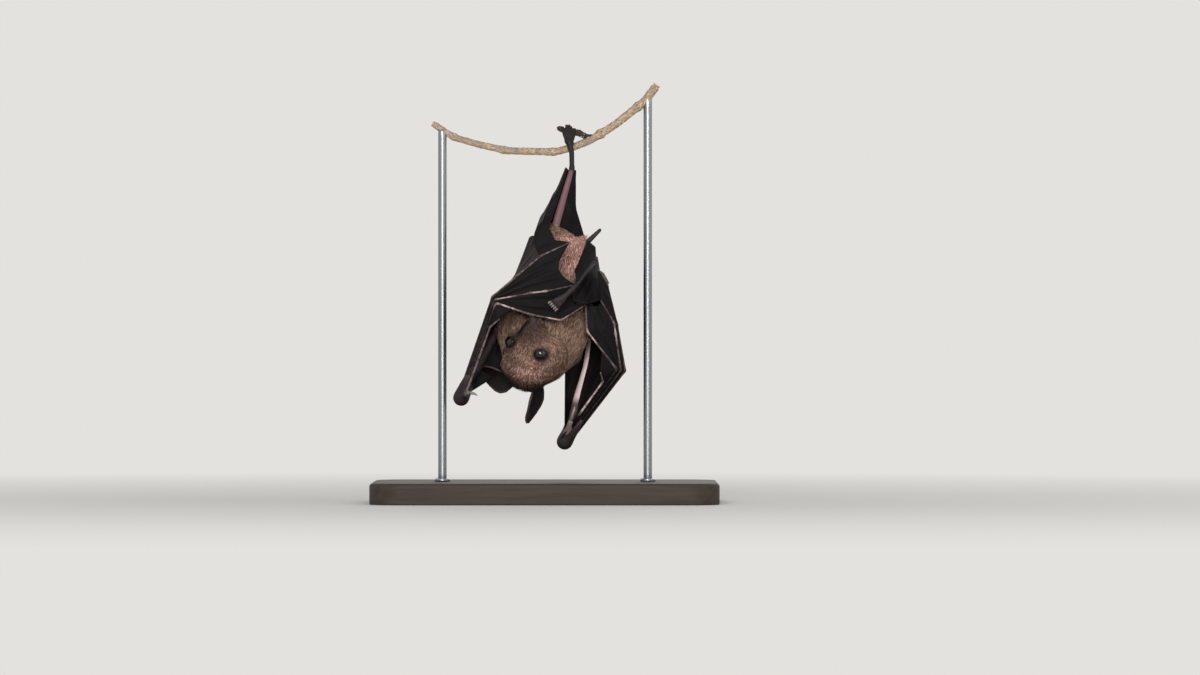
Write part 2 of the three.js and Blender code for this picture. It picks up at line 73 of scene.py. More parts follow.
# The head along its own axis: distance from the back of the skull, half width, half height, rise.
# HEAD_SIDE points out of its right cheek and HEAD_TOP out of its crown.
HEAD_BACK = np.array([-8, -8, 44.0])
NOSE = np.array([-3, -21, 69.4])
HEAD_SIDE = np.array([0.854, -0.376, -0.36])
HEAD_TOP = np.array([-0.491, -0.811, -0.318])
HEAD = [
    (3.2, 8.1, 6.6, 0),
    (7.5, 10.4, 8.6, 0.2),
    (13.5, 9.6, 8.2, 0.2),
    (18.5, 7.4, 6.6, 0),
    (23, 5.1, 4.9, -0.4),
    (25.1, 3.3, 3.1, -0.5),
]
# The nostrils are tubes of this radius from the root to the tip, whose hole widens outwards from the tip.
NOSTRIL = {
    "tip": (27.9, 1.65, 0.3), "root": (23.9, 1.1, 0.3), "radius": 1.3, "hole": ((0.5, 0.5), (2.2, 0.75)),
}
# The mouth is a slit this wide and deep, from its corner forward. The lips meet at this height at the
# muzzle's end, and the slit rises by this share of the way back.
MOUTH = {"corner": 15.5, "end": 27, "height": -2.35, "rise": 0.05, "gap": 0.4, "depth": 0.75}
EYE_AT = {"along": 17.5, "side": 6.1, "top": 3.7}
EYE_BULGE = (3.2, 3.2, 3.5)  # half sizes of the swelling round an eye: side, top, along
LIDS_APART = (2.8, 2.5, 2.9)  # half sizes of the opening of the lids: along the eye, across it, deep
# Swellings of the head on one side: place along the head, to the side and towards the crown,
# half sizes on the same directions in the order side, top, along, and the fillet.
CHEEK_POUCH = ((13.4, 7, -4.6), (5.8, 5.5, 7.4), 4.0)
JAW_MUSCLE = ((12.5, 6.2, -1.2), (2.6, 3.6, 4.4), 2.0)
UPPER_LIP = ((23.6, 2.3, -1.4), (2.1, 1.9, 2.9), 0.9)
CHIN = ((21.8, 0, -3.4), (2.9, 1.7, 3.6), 1.0)
EARS = {
    "left": {
        "base": (-13.4, -5, 46.4), "tip": (-24.6, 2.2, 47.8), "width": 13, "faces": (-0.2, -0.72, -0.62),
    },
    "right": {
        "base": (-2.6, -6, 44), "tip": (-5.6, -0.5, 29.8), "width": 9.6, "faces": (0.8, -0.58, 0.15),
    },
}
TAIL = [(14.6, 4, 96.6), (20.6, 5, 102.4)]

# Each side's limb joints, the lines of fingers 2 to 5 beyond the knuckles, and the free corners of its
# membranes. fan is the way the long hand bones spread, second is the share of the palm that finger 2 spans,
# and hollow is how far in the free edges behind fingers 4 and 3 curve.
LEFT = {
    "shoulder": (-14, 0, 64.5), "elbow": (-4.5, 8, 98.8), "wrist": (-31.4, -2.7, 39.4), "bow": (2, 0, 0),
    "knuckle": (-18.4, -20.6, 75.4), "fan": (-0.35, 0.85, 0.4), "second": 0.78, "hollow": (0.17, 0.08),
    "fingers": {
        5: [(-10.5, -18, 84.8), (-1.5, -16.6, 92.4), (9.4, -14.2, 97.5)],
        4: [(-5.1, -18.6, 78.6), (0.6, -17.4, 79.3), (11.3, -14.6, 81.6)],
        3: [(-5.4, -18, 70.6), (6, -14.6, 68.5), (14.2, -13.2, 73.6)],
        2: [(-16.8, -23.4, 68.8)],
    },
    "thumb": [(-28.6, -9, 41.4), (-25.2, -8.6, 40.2)],
    "hip": (10.5, 2, 95.4), "knee": (3.4, -8.6, 102), "ankle": (10.1, -4.6, 125.3),
    "back_fold": [(-0.8, 6, 108.5), (4.6, 2, 118)], "flank": [(2, 5, 91), (2.8, -5, 100.5)],
    "trailing": [(3.6, -14.4, 98.4), (1.6, -12.6, 103), (3.4, -10, 108.5), (6.2, -7.2, 117)],
    "throat": (-14.5, 3, 50), "tail_root": (14.6, 3.4, 100.2), "tail_edge": [(11.4, 0, 111)],
}
RIGHT = {
    "shoulder": (10.4, 8, 55.6), "elbow": (21.2, 22, 83.4), "wrist": (7.3, 10.5, 22.8), "bow": (2.2, -1, 0),
    "knuckle": (27.6, -6, 50), "fan": (0.8, 0.6, 0), "second": 0.82, "hollow": (0.02, 0.1),
    "fingers": {
        5: [(27, -4.6, 66.8), (23.4, -6.6, 81.6), (19.9, -9.4, 87.4)],
        4: [(26.4, -8.8, 63.4), (25.8, -9.4, 67.6), (20.9, -11.6, 75.8)],
        3: [(15.8, -11.6, 64.4), (15.1, -9.6, 77)],
        2: [(20.8, -10.4, 48.8)],
    },
    "thumb": [(9.6, 4.4, 30.4), (11.2, 3.2, 36)],
    "hip": (13.5, 2.5, 92.5), "knee": (18, 4, 91), "ankle": (11.6, -18.8, 81.4),
    "back_fold": [(20.2, 12, 88.6)], "flank": [(13, 13, 70), (14, 11, 84)], "front_fold": (24, 8, 82.5),
    "trailing": [(20.7, -12, 76), (14.6, -15.4, 74.2), (10.2, -17.8, 75.6)],
    "throat": (7.6, 3, 50.5), "tail_root": (15.8, 1.2, 98.4),
    "tail_edge": [(14.2, -4.6, 94), (11.2, -10, 87)], "tail_side": [(19, 0.5, 92.4), (18.8, 1.4, 96)],
}
LIMBS = {"left": LEFT, "right": RIGHT}
FEET = {  # pitch is the distance from one toe to the next, along spread
    "left": {
        "sole": (10, -4.5, 131.2), "ball": (9, -4, 135.2), "pitch": 0.85, "spread": (1, 0, -0.3),
    },
    "right": {
        "sole": (8.8, -19.6, 78.6), "ball": (6.2, -20.2, 76.2), "pitch": 0.78, "spread": (0.66, 0.1, -0.74),
    },
}
# The gripping toes, in Y and Z, and how far each one strays from its neighbours, in X and Z.
HOOK = {"toes": [(-2.9, 138), (-1.1, 140.9), (0.7, 141.1)], "claw": (2.3, 139.2)}
STRAY = [(-1, -0.9), (-0.1, 0.1), (0.05, 0.35), (-0.1, 0), (0.45, -0.5)]
# The free toes, from the ball of the foot.
LOOSE = {"toes": [(-1.3, -0.4, -1), (-2.5, 0.2, -2.1)], "claw": (-3.5, 1.0, -3.2)}

TWIG_LINE = [
    (-41.2, 0, 141.6), (-34, 0, 137), (-25, 0, 134.4), (-14, 0, 132), (4, 0, 131.6),
    (11.2, 0, 133.6), (17, 0, 136), (26, 0, 141.6), (37.6, 0, 150.8), (41, 0, 155.4),
]
TWIG_RADIUS = (1.2, 1.6)  # at its two ends
TWIG_NODES = [(0.09, 0.28), (0.3, 0.32), (0.5, 0.22), (0.71, 0.5), (0.9, 0.36)]  # share along it, swelling
SPUR_LINE = [(19, 0, 137), (15.6, 0.3, 137.2), (12.4, -0.2, 138.8), (8.6, 0.1, 139), (5.4, -0.1, 140.4)]
SPUR_RADII = [1.2, 1.05, 1.3, 1.05, 1]


# ---- small helpers for points ----
def vec(p):
    """A point, or a list of points, as an array."""
    return np.asarray(p, float)


def unit(v):
    """A direction, or each of a list of them, at length 1."""
    v = vec(v)
    return v / np.maximum(np.linalg.norm(v, axis=-1, keepdims=True), 1e-9)


def mix(p, q, t):
    """The point at a share of the way from p to q."""
    return vec(p) + (vec(q) - vec(p)) * t


def smoothstep(low, high, x):
    """0 below low and 1 above high, rising smoothly between. If low is the greater, it falls instead."""
    t = np.clip((x - low) / (high - low), 0, 1)
    return t * t * (3 - 2 * t)


MUZZLE = unit(NOSE - HEAD_BACK)


def on_head(along, side, top):
    """The place this far along the head from its back, to its right and towards its crown."""
    return HEAD_BACK + MUZZLE * along + HEAD_SIDE * side + HEAD_TOP * top


def head_coords(p):
    """The same three distances for each point."""
    q = p - HEAD_BACK
    return q @ MUZZLE, q @ HEAD_SIDE, q @ HEAD_TOP


def smoothed(values, reach):
    """The mean over each value and its neighbours up to this far away."""
    width = 2 * reach + 1
    return np.convolve(np.pad(values, reach, "edge"), np.ones(width) / width, "valid")


def bent(points, corner=1.2, rounds=2):
    """A line through the points, straight between them, with each corner rounded."""
    p = [vec(x) for x in points]
    line = [p[0]]
    for a, b, c in zip(p, p[1:], p[2:]):
        for end in (a, c):
            reach = min(corner, np.linalg.norm(end - b) * 0.4)
            line.append(b + unit(end - b) * reach)
            if end is a:
                line.append(b)
    line = np.array(line + [p[-1]])
    for _ in range(rounds):
        cut = np.stack([mix(line[:-1], line[1:], share) for share in (0.25, 0.75)], 1).reshape(-1, 3)
        cut[0], cut[-1] = line[0], line[-1]
        line = cut
    return line


def swept(points, rounds=4):
    """A line that swings smoothly past the points between its ends."""
    return bent(points, corner=np.inf, rounds=rounds)


def lengths(line):
    """How far each point lies along a line."""
    return np.concatenate([[0], np.cumsum(np.linalg.norm(np.diff(line, axis=0), axis=1))])


def at_shares(line, shares):
    """Points at shares of a line's length."""
    length = lengths(line)
    at = np.asarray(shares) * length[-1]
    return np.stack([np.interp(at, length, line[:, i]) for i in range(3)], -1)


def outward(p):
    """The direction out of a grid of points, for each of them."""
    return unit(np.cross(np.gradient(p, axis=0), np.gradient(p, axis=1)))


# ---- meshes ----
LIE_PER_MM = 0.1  # the Lie map, which follows the surface, counts centimetres


def mesh_from(name, corners, faces, finish, numbers=None, uv=None, uv_name="Lie"):
    """A mesh object at the origin. faces is a list of index arrays, each with one number of corners."""
    faces = [f for f in faces if len(f)]
    mesh = bpy.data.meshes.new(name)
    mesh.vertices.add(len(corners))
    mesh.vertices.foreach_set("co", (corners * MM).astype(np.float32).ravel())
    loops = np.concatenate([f.ravel() for f in faces]).astype(np.int32)
    sizes = np.concatenate([np.full(len(f), f.shape[1]) for f in faces])
    mesh.loops.add(len(loops))
    mesh.loops.foreach_set("vertex_index", loops)
    mesh.polygons.add(len(sizes))
    starts = np.concatenate([[0], np.cumsum(sizes)[:-1]])
    mesh.polygons.foreach_set("loop_start", starts.astype(np.int32))
    for key, values in (numbers or {}).items():
        mesh.attributes.new(key, "FLOAT", "POINT").data.foreach_set("value", values.astype(np.float32))
    if uv is not None:
        mesh.uv_layers.new(name=uv_name).data.foreach_set("uv", uv[loops].astype(np.float32).ravel())
    mesh.update(calc_edges=True)
    mesh.shade_smooth()
    obj = bpy.data.objects.new(name, mesh)
    bpy.context.scene.collection.objects.link(obj)
    mesh.materials.append(finish)
    return obj


def part_from(corners, faces, uv=None, numbers=None):
    """One closed shape that is not an object yet."""
    uv = np.zeros((len(corners), 2)) if uv is None else uv
    return {"corners": corners, "faces": faces, "uv": uv, "numbers": numbers or {}}


def together(parts):
    """Joins the parts that part_from gives into one."""
    start, faces = 0, []
    for part in parts:
        faces += [f + start for f in part["faces"] if len(f)]
        start += len(part["corners"])
    numbers = {}
    for key in sorted({k for part in parts for k in part["numbers"]}):
        each = [np.broadcast_to(part["numbers"].get(key, 0.0), len(part["corners"])) for part in parts]
        numbers[key] = np.concatenate(each)
    same_size = [[f for f in faces if f.shape[1] == size] for size in (3, 4)]
    return part_from(
        np.concatenate([part["corners"] for part in parts]),
        [np.concatenate(same) for same in same_size if same],
        np.concatenate([part["uv"] for part in parts]), numbers,
    )


def joined(name, parts, finish, mapped=True):
    """One mesh object of several parts, with their Lie map or without."""
    whole = together(parts)
    uv = whole["uv"] if mapped else None
    return mesh_from(name, whole["corners"], whole["faces"], finish, whole["numbers"], uv)


def circle(steps, start=0.0):
    """Angles evenly round a circle."""
    return np.linspace(0, 2 * np.pi, steps, endpoint=False) + start


def ring_quads(rings, sides, turned=False):
    """Faces between closed rings of corners, each ring numbered on from the one before it."""
    i, j = np.meshgrid(np.arange(rings - 1), np.arange(sides), indexing="ij")
    k = (j + 1) % sides
    quad = [i * sides + j, i * sides + k, (i + 1) * sides + k, (i + 1) * sides + j]
    if turned:
        quad = [quad[0], *quad[:0:-1]]
    return np.stack(quad, -1).reshape(-1, 4)


def end_cap(ring, middle, sides, turned=False):
    """Triangles from a ring of corners to the corner at its middle."""
    j, k = np.arange(sides), (np.arange(sides) + 1) % sides
    corners = [ring * sides + j, ring * sides + k, np.full(sides, middle)]
    return np.stack(corners[::-1] if turned else corners, -1)


def round_part(rings, tips, uv=None, numbers=None, turned=False):
    """A closed shape: rings of corners, drawn in to a tip at each end."""
    n, sides = len(rings), len(rings[0])
    faces = [ring_quads(n, sides, turned), end_cap(0, n * sides, sides, not turned),
             end_cap(n - 1, n * sides + 1, sides, turned)]
    return part_from(np.concatenate([*rings, tips]), faces, uv, numbers)


def tube(line, radii, sides=12, **numbers):
    """A round bar along a line, closed with domes."""
    line = vec(line)
    radii = np.broadcast_to(radii, len(line)).astype(float)
    ahead = unit(np.gradient(line, axis=0))
    side = unit(np.cross(ahead[0], (0.3, 0.9, 0.2)))
    angle = circle(sides)[:, None]
    long = lengths(line)
    dome = [(math.sin(a), math.cos(a)) for a in (0.45, 0.9, 1.3)]
    stations = [(0, -rise, shrink) for rise, shrink in reversed(dome)]
    stations += [(i, 0, 1) for i in range(len(line))] + [(-1, rise, shrink) for rise, shrink in dome]
    frames = []
    for direction in ahead:
        side = unit(side - direction * (side @ direction))
        frames.append((side, np.cross(direction, side)))
    rings = []
    for i, rise, shrink in stations:
        across, up = frames[i]
        centre = line[i] + ahead[i] * radii[i] * rise
        rings.append(centre + radii[i] * shrink * (np.cos(angle) * across + np.sin(angle) * up))
    tips = np.array([line[0] - ahead[0] * radii[0], line[-1] + ahead[-1] * radii[-1]])
    share = np.repeat([long[i] for i, _, _ in stations], sides)
    uv = np.stack([share, np.tile(circle(sides), len(rings)) * radii.mean()], -1)
    uv = np.concatenate([uv, [[0, 0], [long[-1], 0]]])
    return round_part(rings, tips, uv * LIE_PER_MM, numbers)


def bar_numbers(along):
    """A number for each corner of a ten-sided tube, from the number at each point of its line."""
    rings = np.concatenate([[along[0]] * 3, along, [along[-1]] * 3])
    return np.concatenate([np.repeat(rings, 10), [along[0], along[-1]]])


def sheet(surface, nu, nv, thick=MEMBRANE, **numbers):
    """A thin closed skin over surface(u, v), which takes and gives whole grids."""
    u, v = np.meshgrid(np.linspace(0, 1, nu + 1), np.linspace(0, 1, nv + 1), indexing="ij")
    p = surface(u, v)
    half = outward(p) * thick / 2
    corners = np.concatenate([(p + half).reshape(-1, 3), (p - half).reshape(-1, 3)])
    cells = (nu + 1) * (nv + 1)
    index = np.arange(cells).reshape(nu + 1, nv + 1)
    quads = np.stack([index[:-1, :-1], index[1:, :-1], index[1:, 1:], index[:-1, 1:]], -1).reshape(-1, 4)
    rim = np.concatenate([index[:-1, 0], index[-1, :-1], index[:0:-1, -1], index[0, :0:-1]])
    after = np.roll(rim, -1)
    edge = np.stack([after, rim, rim + cells, after + cells], -1)
    run = [np.linalg.norm(np.gradient(p, axis=axis), axis=-1).cumsum(axis) for axis in (0, 1)]
    uv = np.stack(run, -1).reshape(-1, 2) * LIE_PER_MM
    numbers = {k: np.tile(np.broadcast_to(x, u.shape).ravel(), 2) for k, x in numbers.items()}
    return part_from(corners, [quads, quads[:, ::-1] + cells, edge], np.tile(uv, (2, 1)), numbers)


# ---- materials ----
def linear(hex_colour):
    """A colour given as sRGB, in the linear values that materials take."""
    parts = [int(hex_colour[i:i + 2], 16) / 255 for i in (1, 3, 5)]
    return [c / 12.92 if c <= 0.04045 else ((c + 0.055) / 1.055) ** 2.4 for c in parts] + [1.0]


def node(tree, kind, fields=None, values=None, links=None):
    """Adds a node with its fields, the values of its inputs, and the outputs that its inputs take."""
    made = tree.nodes.new(kind)
    for key, value in (fields or {}).items():
        setattr(made, key, value)
    for key, value in (values or {}).items():
        made.inputs[key].default_value = value
    for key, output in (links or {}).items():
        tree.links.new(output, made.inputs[key])
    return made


RGBA = {"data_type": "RGBA"}
# A pattern's scale is the number of its features in a centimetre: as it is on the Lie map, which counts
# centimetres, and times PER_CM on Object coordinates, which are metres.
PER_CM = 100


def material(name, **values):
    """A new material: itself, its tree and its shader, with the shader's own values set."""
    made = bpy.data.materials.new(name)
    made.use_nodes = True
    tree = made.node_tree
    tree.nodes.clear()
    values = {key.replace("_", " "): value for key, value in values.items()}
    shader = node(tree, "ShaderNodeBsdfPrincipled", values=values)
    node(tree, "ShaderNodeOutputMaterial", links={"Surface": shader.outputs[0]})
    return made, tree, shader


def attributes(tree, *names):
    """The piece's own numbers, such as how far along a lock or how dark a point is."""
    return [node(tree, "ShaderNodeAttribute", {"attribute_name": n}).outputs["Fac"] for n in names]


def velvet_fur():
    """Short dense fur, soft and dull. Each lock is near black at its root and brown at its tip."""
    made, tree, shader = material("velvet_fur", Roughness=0.68, Specular_IOR_Level=0.22)
    rise, shade, blush, soot = attributes(tree, "rise", "shade", "blush", "soot")
    length = node(tree, "ShaderNodeMix", RGBA, {6: linear("#2b1f1a"), 7: linear("#ae8a73")}, {0: rise})
    pink = node(tree, "ShaderNodeMix", RGBA, {7: linear("#e0ab9c")}, {0: blush, 6: length.outputs[2]})
    # Darkens the locks: dark fur, and painted shade beside the muzzle, on the nape and round the eyes.
    dark = node(tree, "ShaderNodeMix", RGBA, {7: linear("#261d1b")}, {0: soot, 6: pink.outputs[2]})
    spread = node(tree, "ShaderNodeMapRange", None, {"To Min": 0.5, "To Max": 2.1}, {"Value": shade})
    faded = node(tree, "ShaderNodeMapRange", None, {"To Min": 1.1, "To Max": 0.7}, {"Value": shade})
    lock = node(tree, "ShaderNodeHueSaturation", None, None,
                {"Value": spread.outputs[0], "Saturation": faded.outputs[0], "Color": dark.outputs[2]})
    tree.links.new(lock.outputs[0], shader.inputs["Base Color"])
    return made


def downy_skin():
    """Skin under the coat: the coat's own colours where it grows, thin purplish skin where it is bare."""
    made, tree, shader = material("downy_skin", Roughness=0.55, Specular_IOR_Level=0.25)
    bare, blush, soot, pale = attributes(tree, "bare", "blush", "soot", "pale")
    place = node(tree, "ShaderNodeTexCoord").outputs["Object"]
    hairs = node(tree, "ShaderNodeTexNoise", None, {"Scale": 26 * PER_CM, "Detail": 3}, {"Vector": place})
    fur = node(tree, "ShaderNodeMix", RGBA, {6: linear("#2b201b"), 7: linear("#6b5245")},
               {0: hairs.outputs["Fac"]})
    veins = node(tree, "ShaderNodeTexNoise", None, {"Scale": 7 * PER_CM, "Detail": 5}, {"Vector": place})
    skin = node(tree, "ShaderNodeMix", RGBA, {6: linear("#2f2527"), 7: linear("#6c5457")},
                {0: veins.outputs["Fac"]})
    cover = node(tree, "ShaderNodeMix", RGBA, None, {0: bare, 6: fur.outputs[2], 7: skin.outputs[2]})
    pink = node(tree, "ShaderNodeMix", RGBA, {7: linear("#9a6b70")}, {0: blush, 6: cover.outputs[2]})
    # Pale here is painted highlight, down the right forearm and on the thumbs.
    painted_highlight = node(tree, "ShaderNodeMix", RGBA, {7: linear("#f0d6d1")}, {0: pale, 6: pink.outputs[2]})
    # Darkens to near black: dark skin and fur, and painted shade beside the muzzle, on the nape, round the
    # eyes, on the right shin and under the right knee.
    dark = node(tree, "ShaderNodeMix", RGBA, {7: linear("#181314")}, {0: soot, 6: painted_highlight.outputs[2]})
    tree.links.new(dark.outputs[2], shader.inputs["Base Color"])
    bump = node(tree, "ShaderNodeBump", None, {"Strength": 0.5, "Distance": 0.00025},
                {"Height": hairs.outputs["Fac"]})
    tree.links.new(bump.outputs[0], shader.inputs["Normal"])
    return made


def wing_leather():
    """Hairless wing skin, near black and barely waxy, finely wrinkled; pinkish where bone lifts it and
    where highlights are painted along the bones.
    """
    made, tree, shader = material("wing_leather", Roughness=0.6, Specular_IOR_Level=0.08)
    (bone,) = attributes(tree, "bone")
    place = node(tree, "ShaderNodeTexCoord").outputs["Object"]
    lie = node(tree, "ShaderNodeUVMap", {"uv_map": "Lie"}).outputs[0]
    mottle = node(tree, "ShaderNodeTexNoise", None,
                  {"Scale": 2.6 * PER_CM, "Detail": 6, "Roughness": 0.65}, {"Vector": place})
    skin = node(tree, "ShaderNodeMix", RGBA, {6: linear("#0b0a0a"), 7: linear("#181516")},
                {0: mottle.outputs["Fac"]})
    grain = node(tree, "ShaderNodeTexNoise", None, {"Scale": 7 * PER_CM, "Detail": 4}, {"Vector": place})
    worn = node(tree, "ShaderNodeMapRange", None, {"From Min": 0.38, "From Max": 0.6},
                {"Value": grain.outputs["Fac"]})
    pink = node(tree, "ShaderNodeMix", RGBA, {6: linear("#8d6f6d"), 7: linear("#dcc3bf")},
                {0: worn.outputs[0]})
    # Bone colour and painted highlights share one mask.
    bones_and_highlights = node(tree, "ShaderNodeMix", RGBA, None, {0: bone, 6: skin.outputs[2], 7: pink.outputs[2]})
    tree.links.new(bones_and_highlights.outputs[2], shader.inputs["Base Color"])
    # Wrinkles are drawn out along the skin, a little over half a millimetre apart, with crinkles between.
    drawn = node(tree, "ShaderNodeMapping", None, {"Scale": (1, 0.3, 1)}, {"Vector": lie})
    wrinkle = node(tree, "ShaderNodeTexNoise", None, {"Scale": 16, "Detail": 4, "Distortion": 0.6},
                   {"Vector": drawn.outputs[0]})
    crinkle = node(tree, "ShaderNodeTexNoise", None, {"Scale": 15 * PER_CM, "Detail": 4}, {"Vector": place})
    relief = node(tree, "ShaderNodeMix", {"data_type": "FLOAT"}, {0: 0.45},
                  {2: wrinkle.outputs["Fac"], 3: crinkle.outputs["Fac"]})
    bump = node(tree, "ShaderNodeBump", None, {"Strength": 0.6, "Distance": 0.0003},
                {"Height": relief.outputs[0]})
    tree.links.new(bump.outputs[0], shader.inputs["Normal"])
    return made


def ear_leather():
    """Thin naked ear, grey-brown, a little paler along its rim."""
    made, tree, shader = material("ear_leather", Roughness=0.55, Specular_IOR_Level=0.2)
    (rim,) = attributes(tree, "rim")
    place = node(tree, "ShaderNodeTexCoord").outputs["Object"]
    mottle = node(tree, "ShaderNodeTexNoise", None, {"Scale": 5 * PER_CM, "Detail": 5}, {"Vector": place})
    skin = node(tree, "ShaderNodeMix", RGBA, {6: linear("#110e0e"), 7: linear("#231d1c")},
                {0: mottle.outputs["Fac"]})
    edge = node(tree, "ShaderNodeMix", RGBA, {7: linear("#4a3f3b")}, {0: rim, 6: skin.outputs[2]})
    tree.links.new(edge.outputs[2], shader.inputs["Base Color"])
    bump = node(tree, "ShaderNodeBump", None, {"Strength": 0.5, "Distance": 0.0002},
                {"Height": mottle.outputs["Fac"]})
    tree.links.new(bump.outputs[0], shader.inputs["Normal"])
    return made


def wet_eye():
    """A wet dark eye: brown iris round a wide black pupil, under a clear cornea that glints."""
    made, tree, shader = material("wet_eye", Roughness=0.03, IOR=1.6)
    (iris,) = attributes(tree, "iris")
    ring = node(tree, "ShaderNodeMix", RGBA, {6: linear("#030303"), 7: linear("#150d0a")}, {0: iris})
    tree.links.new(ring.outputs[2], shader.inputs["Base Color"])
    return made


def horn():
    """Claw horn, dark at the root and a little clearer at the point."""
    made, tree, shader = material("horn", Roughness=0.3)
    (point,) = attributes(tree, "point")
    place = node(tree, "ShaderNodeTexCoord").outputs["Object"]
    streak = node(tree, "ShaderNodeTexNoise", None, {"Scale": 9 * PER_CM, "Detail": 3}, {"Vector": place})
    length = node(tree, "ShaderNodeMix", RGBA, {6: linear("#4a3f3a"), 7: linear("#c2b7ad")}, {0: point})
    streaked = node(tree, "ShaderNodeMix", RGBA | {"blend_type": "MULTIPLY"}, {0: 0.35},
                    {6: length.outputs[2], 7: streak.outputs["Color"]})
    tree.links.new(streaked.outputs[2], shader.inputs["Base Color"])
    return made


def twig_bark():
    """Dry flaky bark, tan and streaked along the twig, grey where it weathers, dark on the dead spur."""
    made, tree, shader = material("twig_bark", Roughness=0.82, Specular_IOR_Level=0.25)
    (soot,) = attributes(tree, "soot")
    place = node(tree, "ShaderNodeTexCoord").outputs["Object"]
    lie = node(tree, "ShaderNodeUVMap", {"uv_map": "Lie"}).outputs[0]
    stretch = node(tree, "ShaderNodeMapping", None, {"Scale": (0.3, 1, 1)}, {"Vector": lie})
    grain = node(tree, "ShaderNodeTexNoise", None, {"Scale": 22, "Detail": 7, "Roughness": 0.7},
                 {"Vector": stretch.outputs[0]})
    ridge = node(tree, "ShaderNodeMapRange", None, {"From Min": 0.36, "From Max": 0.64},
                 {"Value": grain.outputs["Fac"]})
    bark = node(tree, "ShaderNodeMix", RGBA, {6: linear("#755d4a"), 7: linear("#e0c4a8")},
                {0: ridge.outputs[0]})
    patches = node(tree, "ShaderNodeTexNoise", None,
                   {"Scale": 2.1 * PER_CM, "Detail": 5, "Roughness": 0.6}, {"Vector": place})
    fade = node(tree, "ShaderNodeMapRange", None, {"From Min": 0.48, "From Max": 0.62, "To Max": 0.7},
                {"Value": patches.outputs["Fac"]})
    grey = node(tree, "ShaderNodeMix", RGBA, {7: linear("#8f8778")},
                {0: fade.outputs[0], 6: bark.outputs[2]})
    dead = node(tree, "ShaderNodeMix", RGBA, {7: linear("#231c17")}, {0: soot, 6: grey.outputs[2]})
    tree.links.new(dead.outputs[2], shader.inputs["Base Color"])
    bump = node(tree, "ShaderNodeBump", None, {"Strength": 1.0, "Distance": 0.0006},
                {"Height": grain.outputs["Fac"]})
    tree.links.new(bump.outputs[0], shader.inputs["Normal"])
    return made


def cork():
    """Dry cork of the bark's raised pores, paler and greyer than the bark round them."""
    made, tree, shader = material("cork", Roughness=0.9, Specular_IOR_Level=0.2)
    place = node(tree, "ShaderNodeTexCoord").outputs["Object"]
    mottle = node(tree, "ShaderNodeTexNoise", None, {"Scale": 9 * PER_CM, "Detail": 3}, {"Vector": place})
    colour = node(tree, "ShaderNodeMix", RGBA, {6: linear("#7d6b59"), 7: linear("#d8c8b4")},
                  {0: mottle.outputs["Fac"]})
    tree.links.new(colour.outputs[2], shader.inputs["Base Color"])
    return made


def cut_wood():
    """The twig's sawn ends: pale wood with fine rings round a dark pith."""
    made, tree, shader = material("cut_wood", Roughness=0.7)
    lie = node(tree, "ShaderNodeUVMap", {"uv_map": "Lie"}).outputs[0]
    rings = node(tree, "ShaderNodeTexWave", {"wave_type": "RINGS", "rings_direction": "Z"},
                 {"Scale": 9, "Distortion": 1.5}, {"Vector": lie})
    wood = node(tree, "ShaderNodeMix", RGBA, {6: linear("#c7a67a"), 7: linear("#e2cba6")},
                {0: rings.outputs["Fac"]})
    tree.links.new(wood.outputs[2], shader.inputs["Base Color"])
    return made


def board_paint():
    """The stand's board: near-black satin paint, thin enough for the grain along X to show."""
    made, tree, shader = material("board_paint", Roughness=0.6, Specular_IOR_Level=0.2)
    place = node(tree, "ShaderNodeTexCoord").outputs["Object"]
    along = node(tree, "ShaderNodeMapping", None, {"Scale": (0.06, 1, 1)}, {"Vector": place})
    grain = node(tree, "ShaderNodeTexNoise", None,
                 {"Scale": 5.2 * PER_CM, "Detail": 6, "Roughness": 0.6}, {"Vector": along.outputs[0]})
    wood = node(tree, "ShaderNodeMix", RGBA, {6: linear("#1f1b19"), 7: linear("#4a3f38")},
                {0: grain.outputs["Fac"]})
    tree.links.new(wood.outputs[2], shader.inputs["Base Color"])
    bump = node(tree, "ShaderNodeBump", None, {"Strength": 0.3, "Distance": 0.00015},
                {"Height": grain.outputs["Fac"]})
    tree.links.new(bump.outputs[0], shader.inputs["Normal"])
    return made


def brushed_steel():
    """The stand's rods: stainless steel, brushed lengthwise."""
    made, tree, shader = material("brushed_steel", Metallic=1.0, Roughness=0.3)
    shader.inputs["Base Color"].default_value = linear("#8d8f93")
    place = node(tree, "ShaderNodeTexCoord").outputs["Object"]
    long = node(tree, "ShaderNodeMapping", None, {"Scale": (1, 1, 0.03)}, {"Vector": place})
    lines = node(tree, "ShaderNodeTexNoise", None, {"Scale": 40 * PER_CM, "Detail": 2},
                 {"Vector": long.outputs[0]})
    rough = node(tree, "ShaderNodeMapRange", None, {"To Min": 0.22, "To Max": 0.42},
                 {"Value": lines.outputs["Fac"]})
    tree.links.new(rough.outputs[0], shader.inputs["Roughness"])
    return made


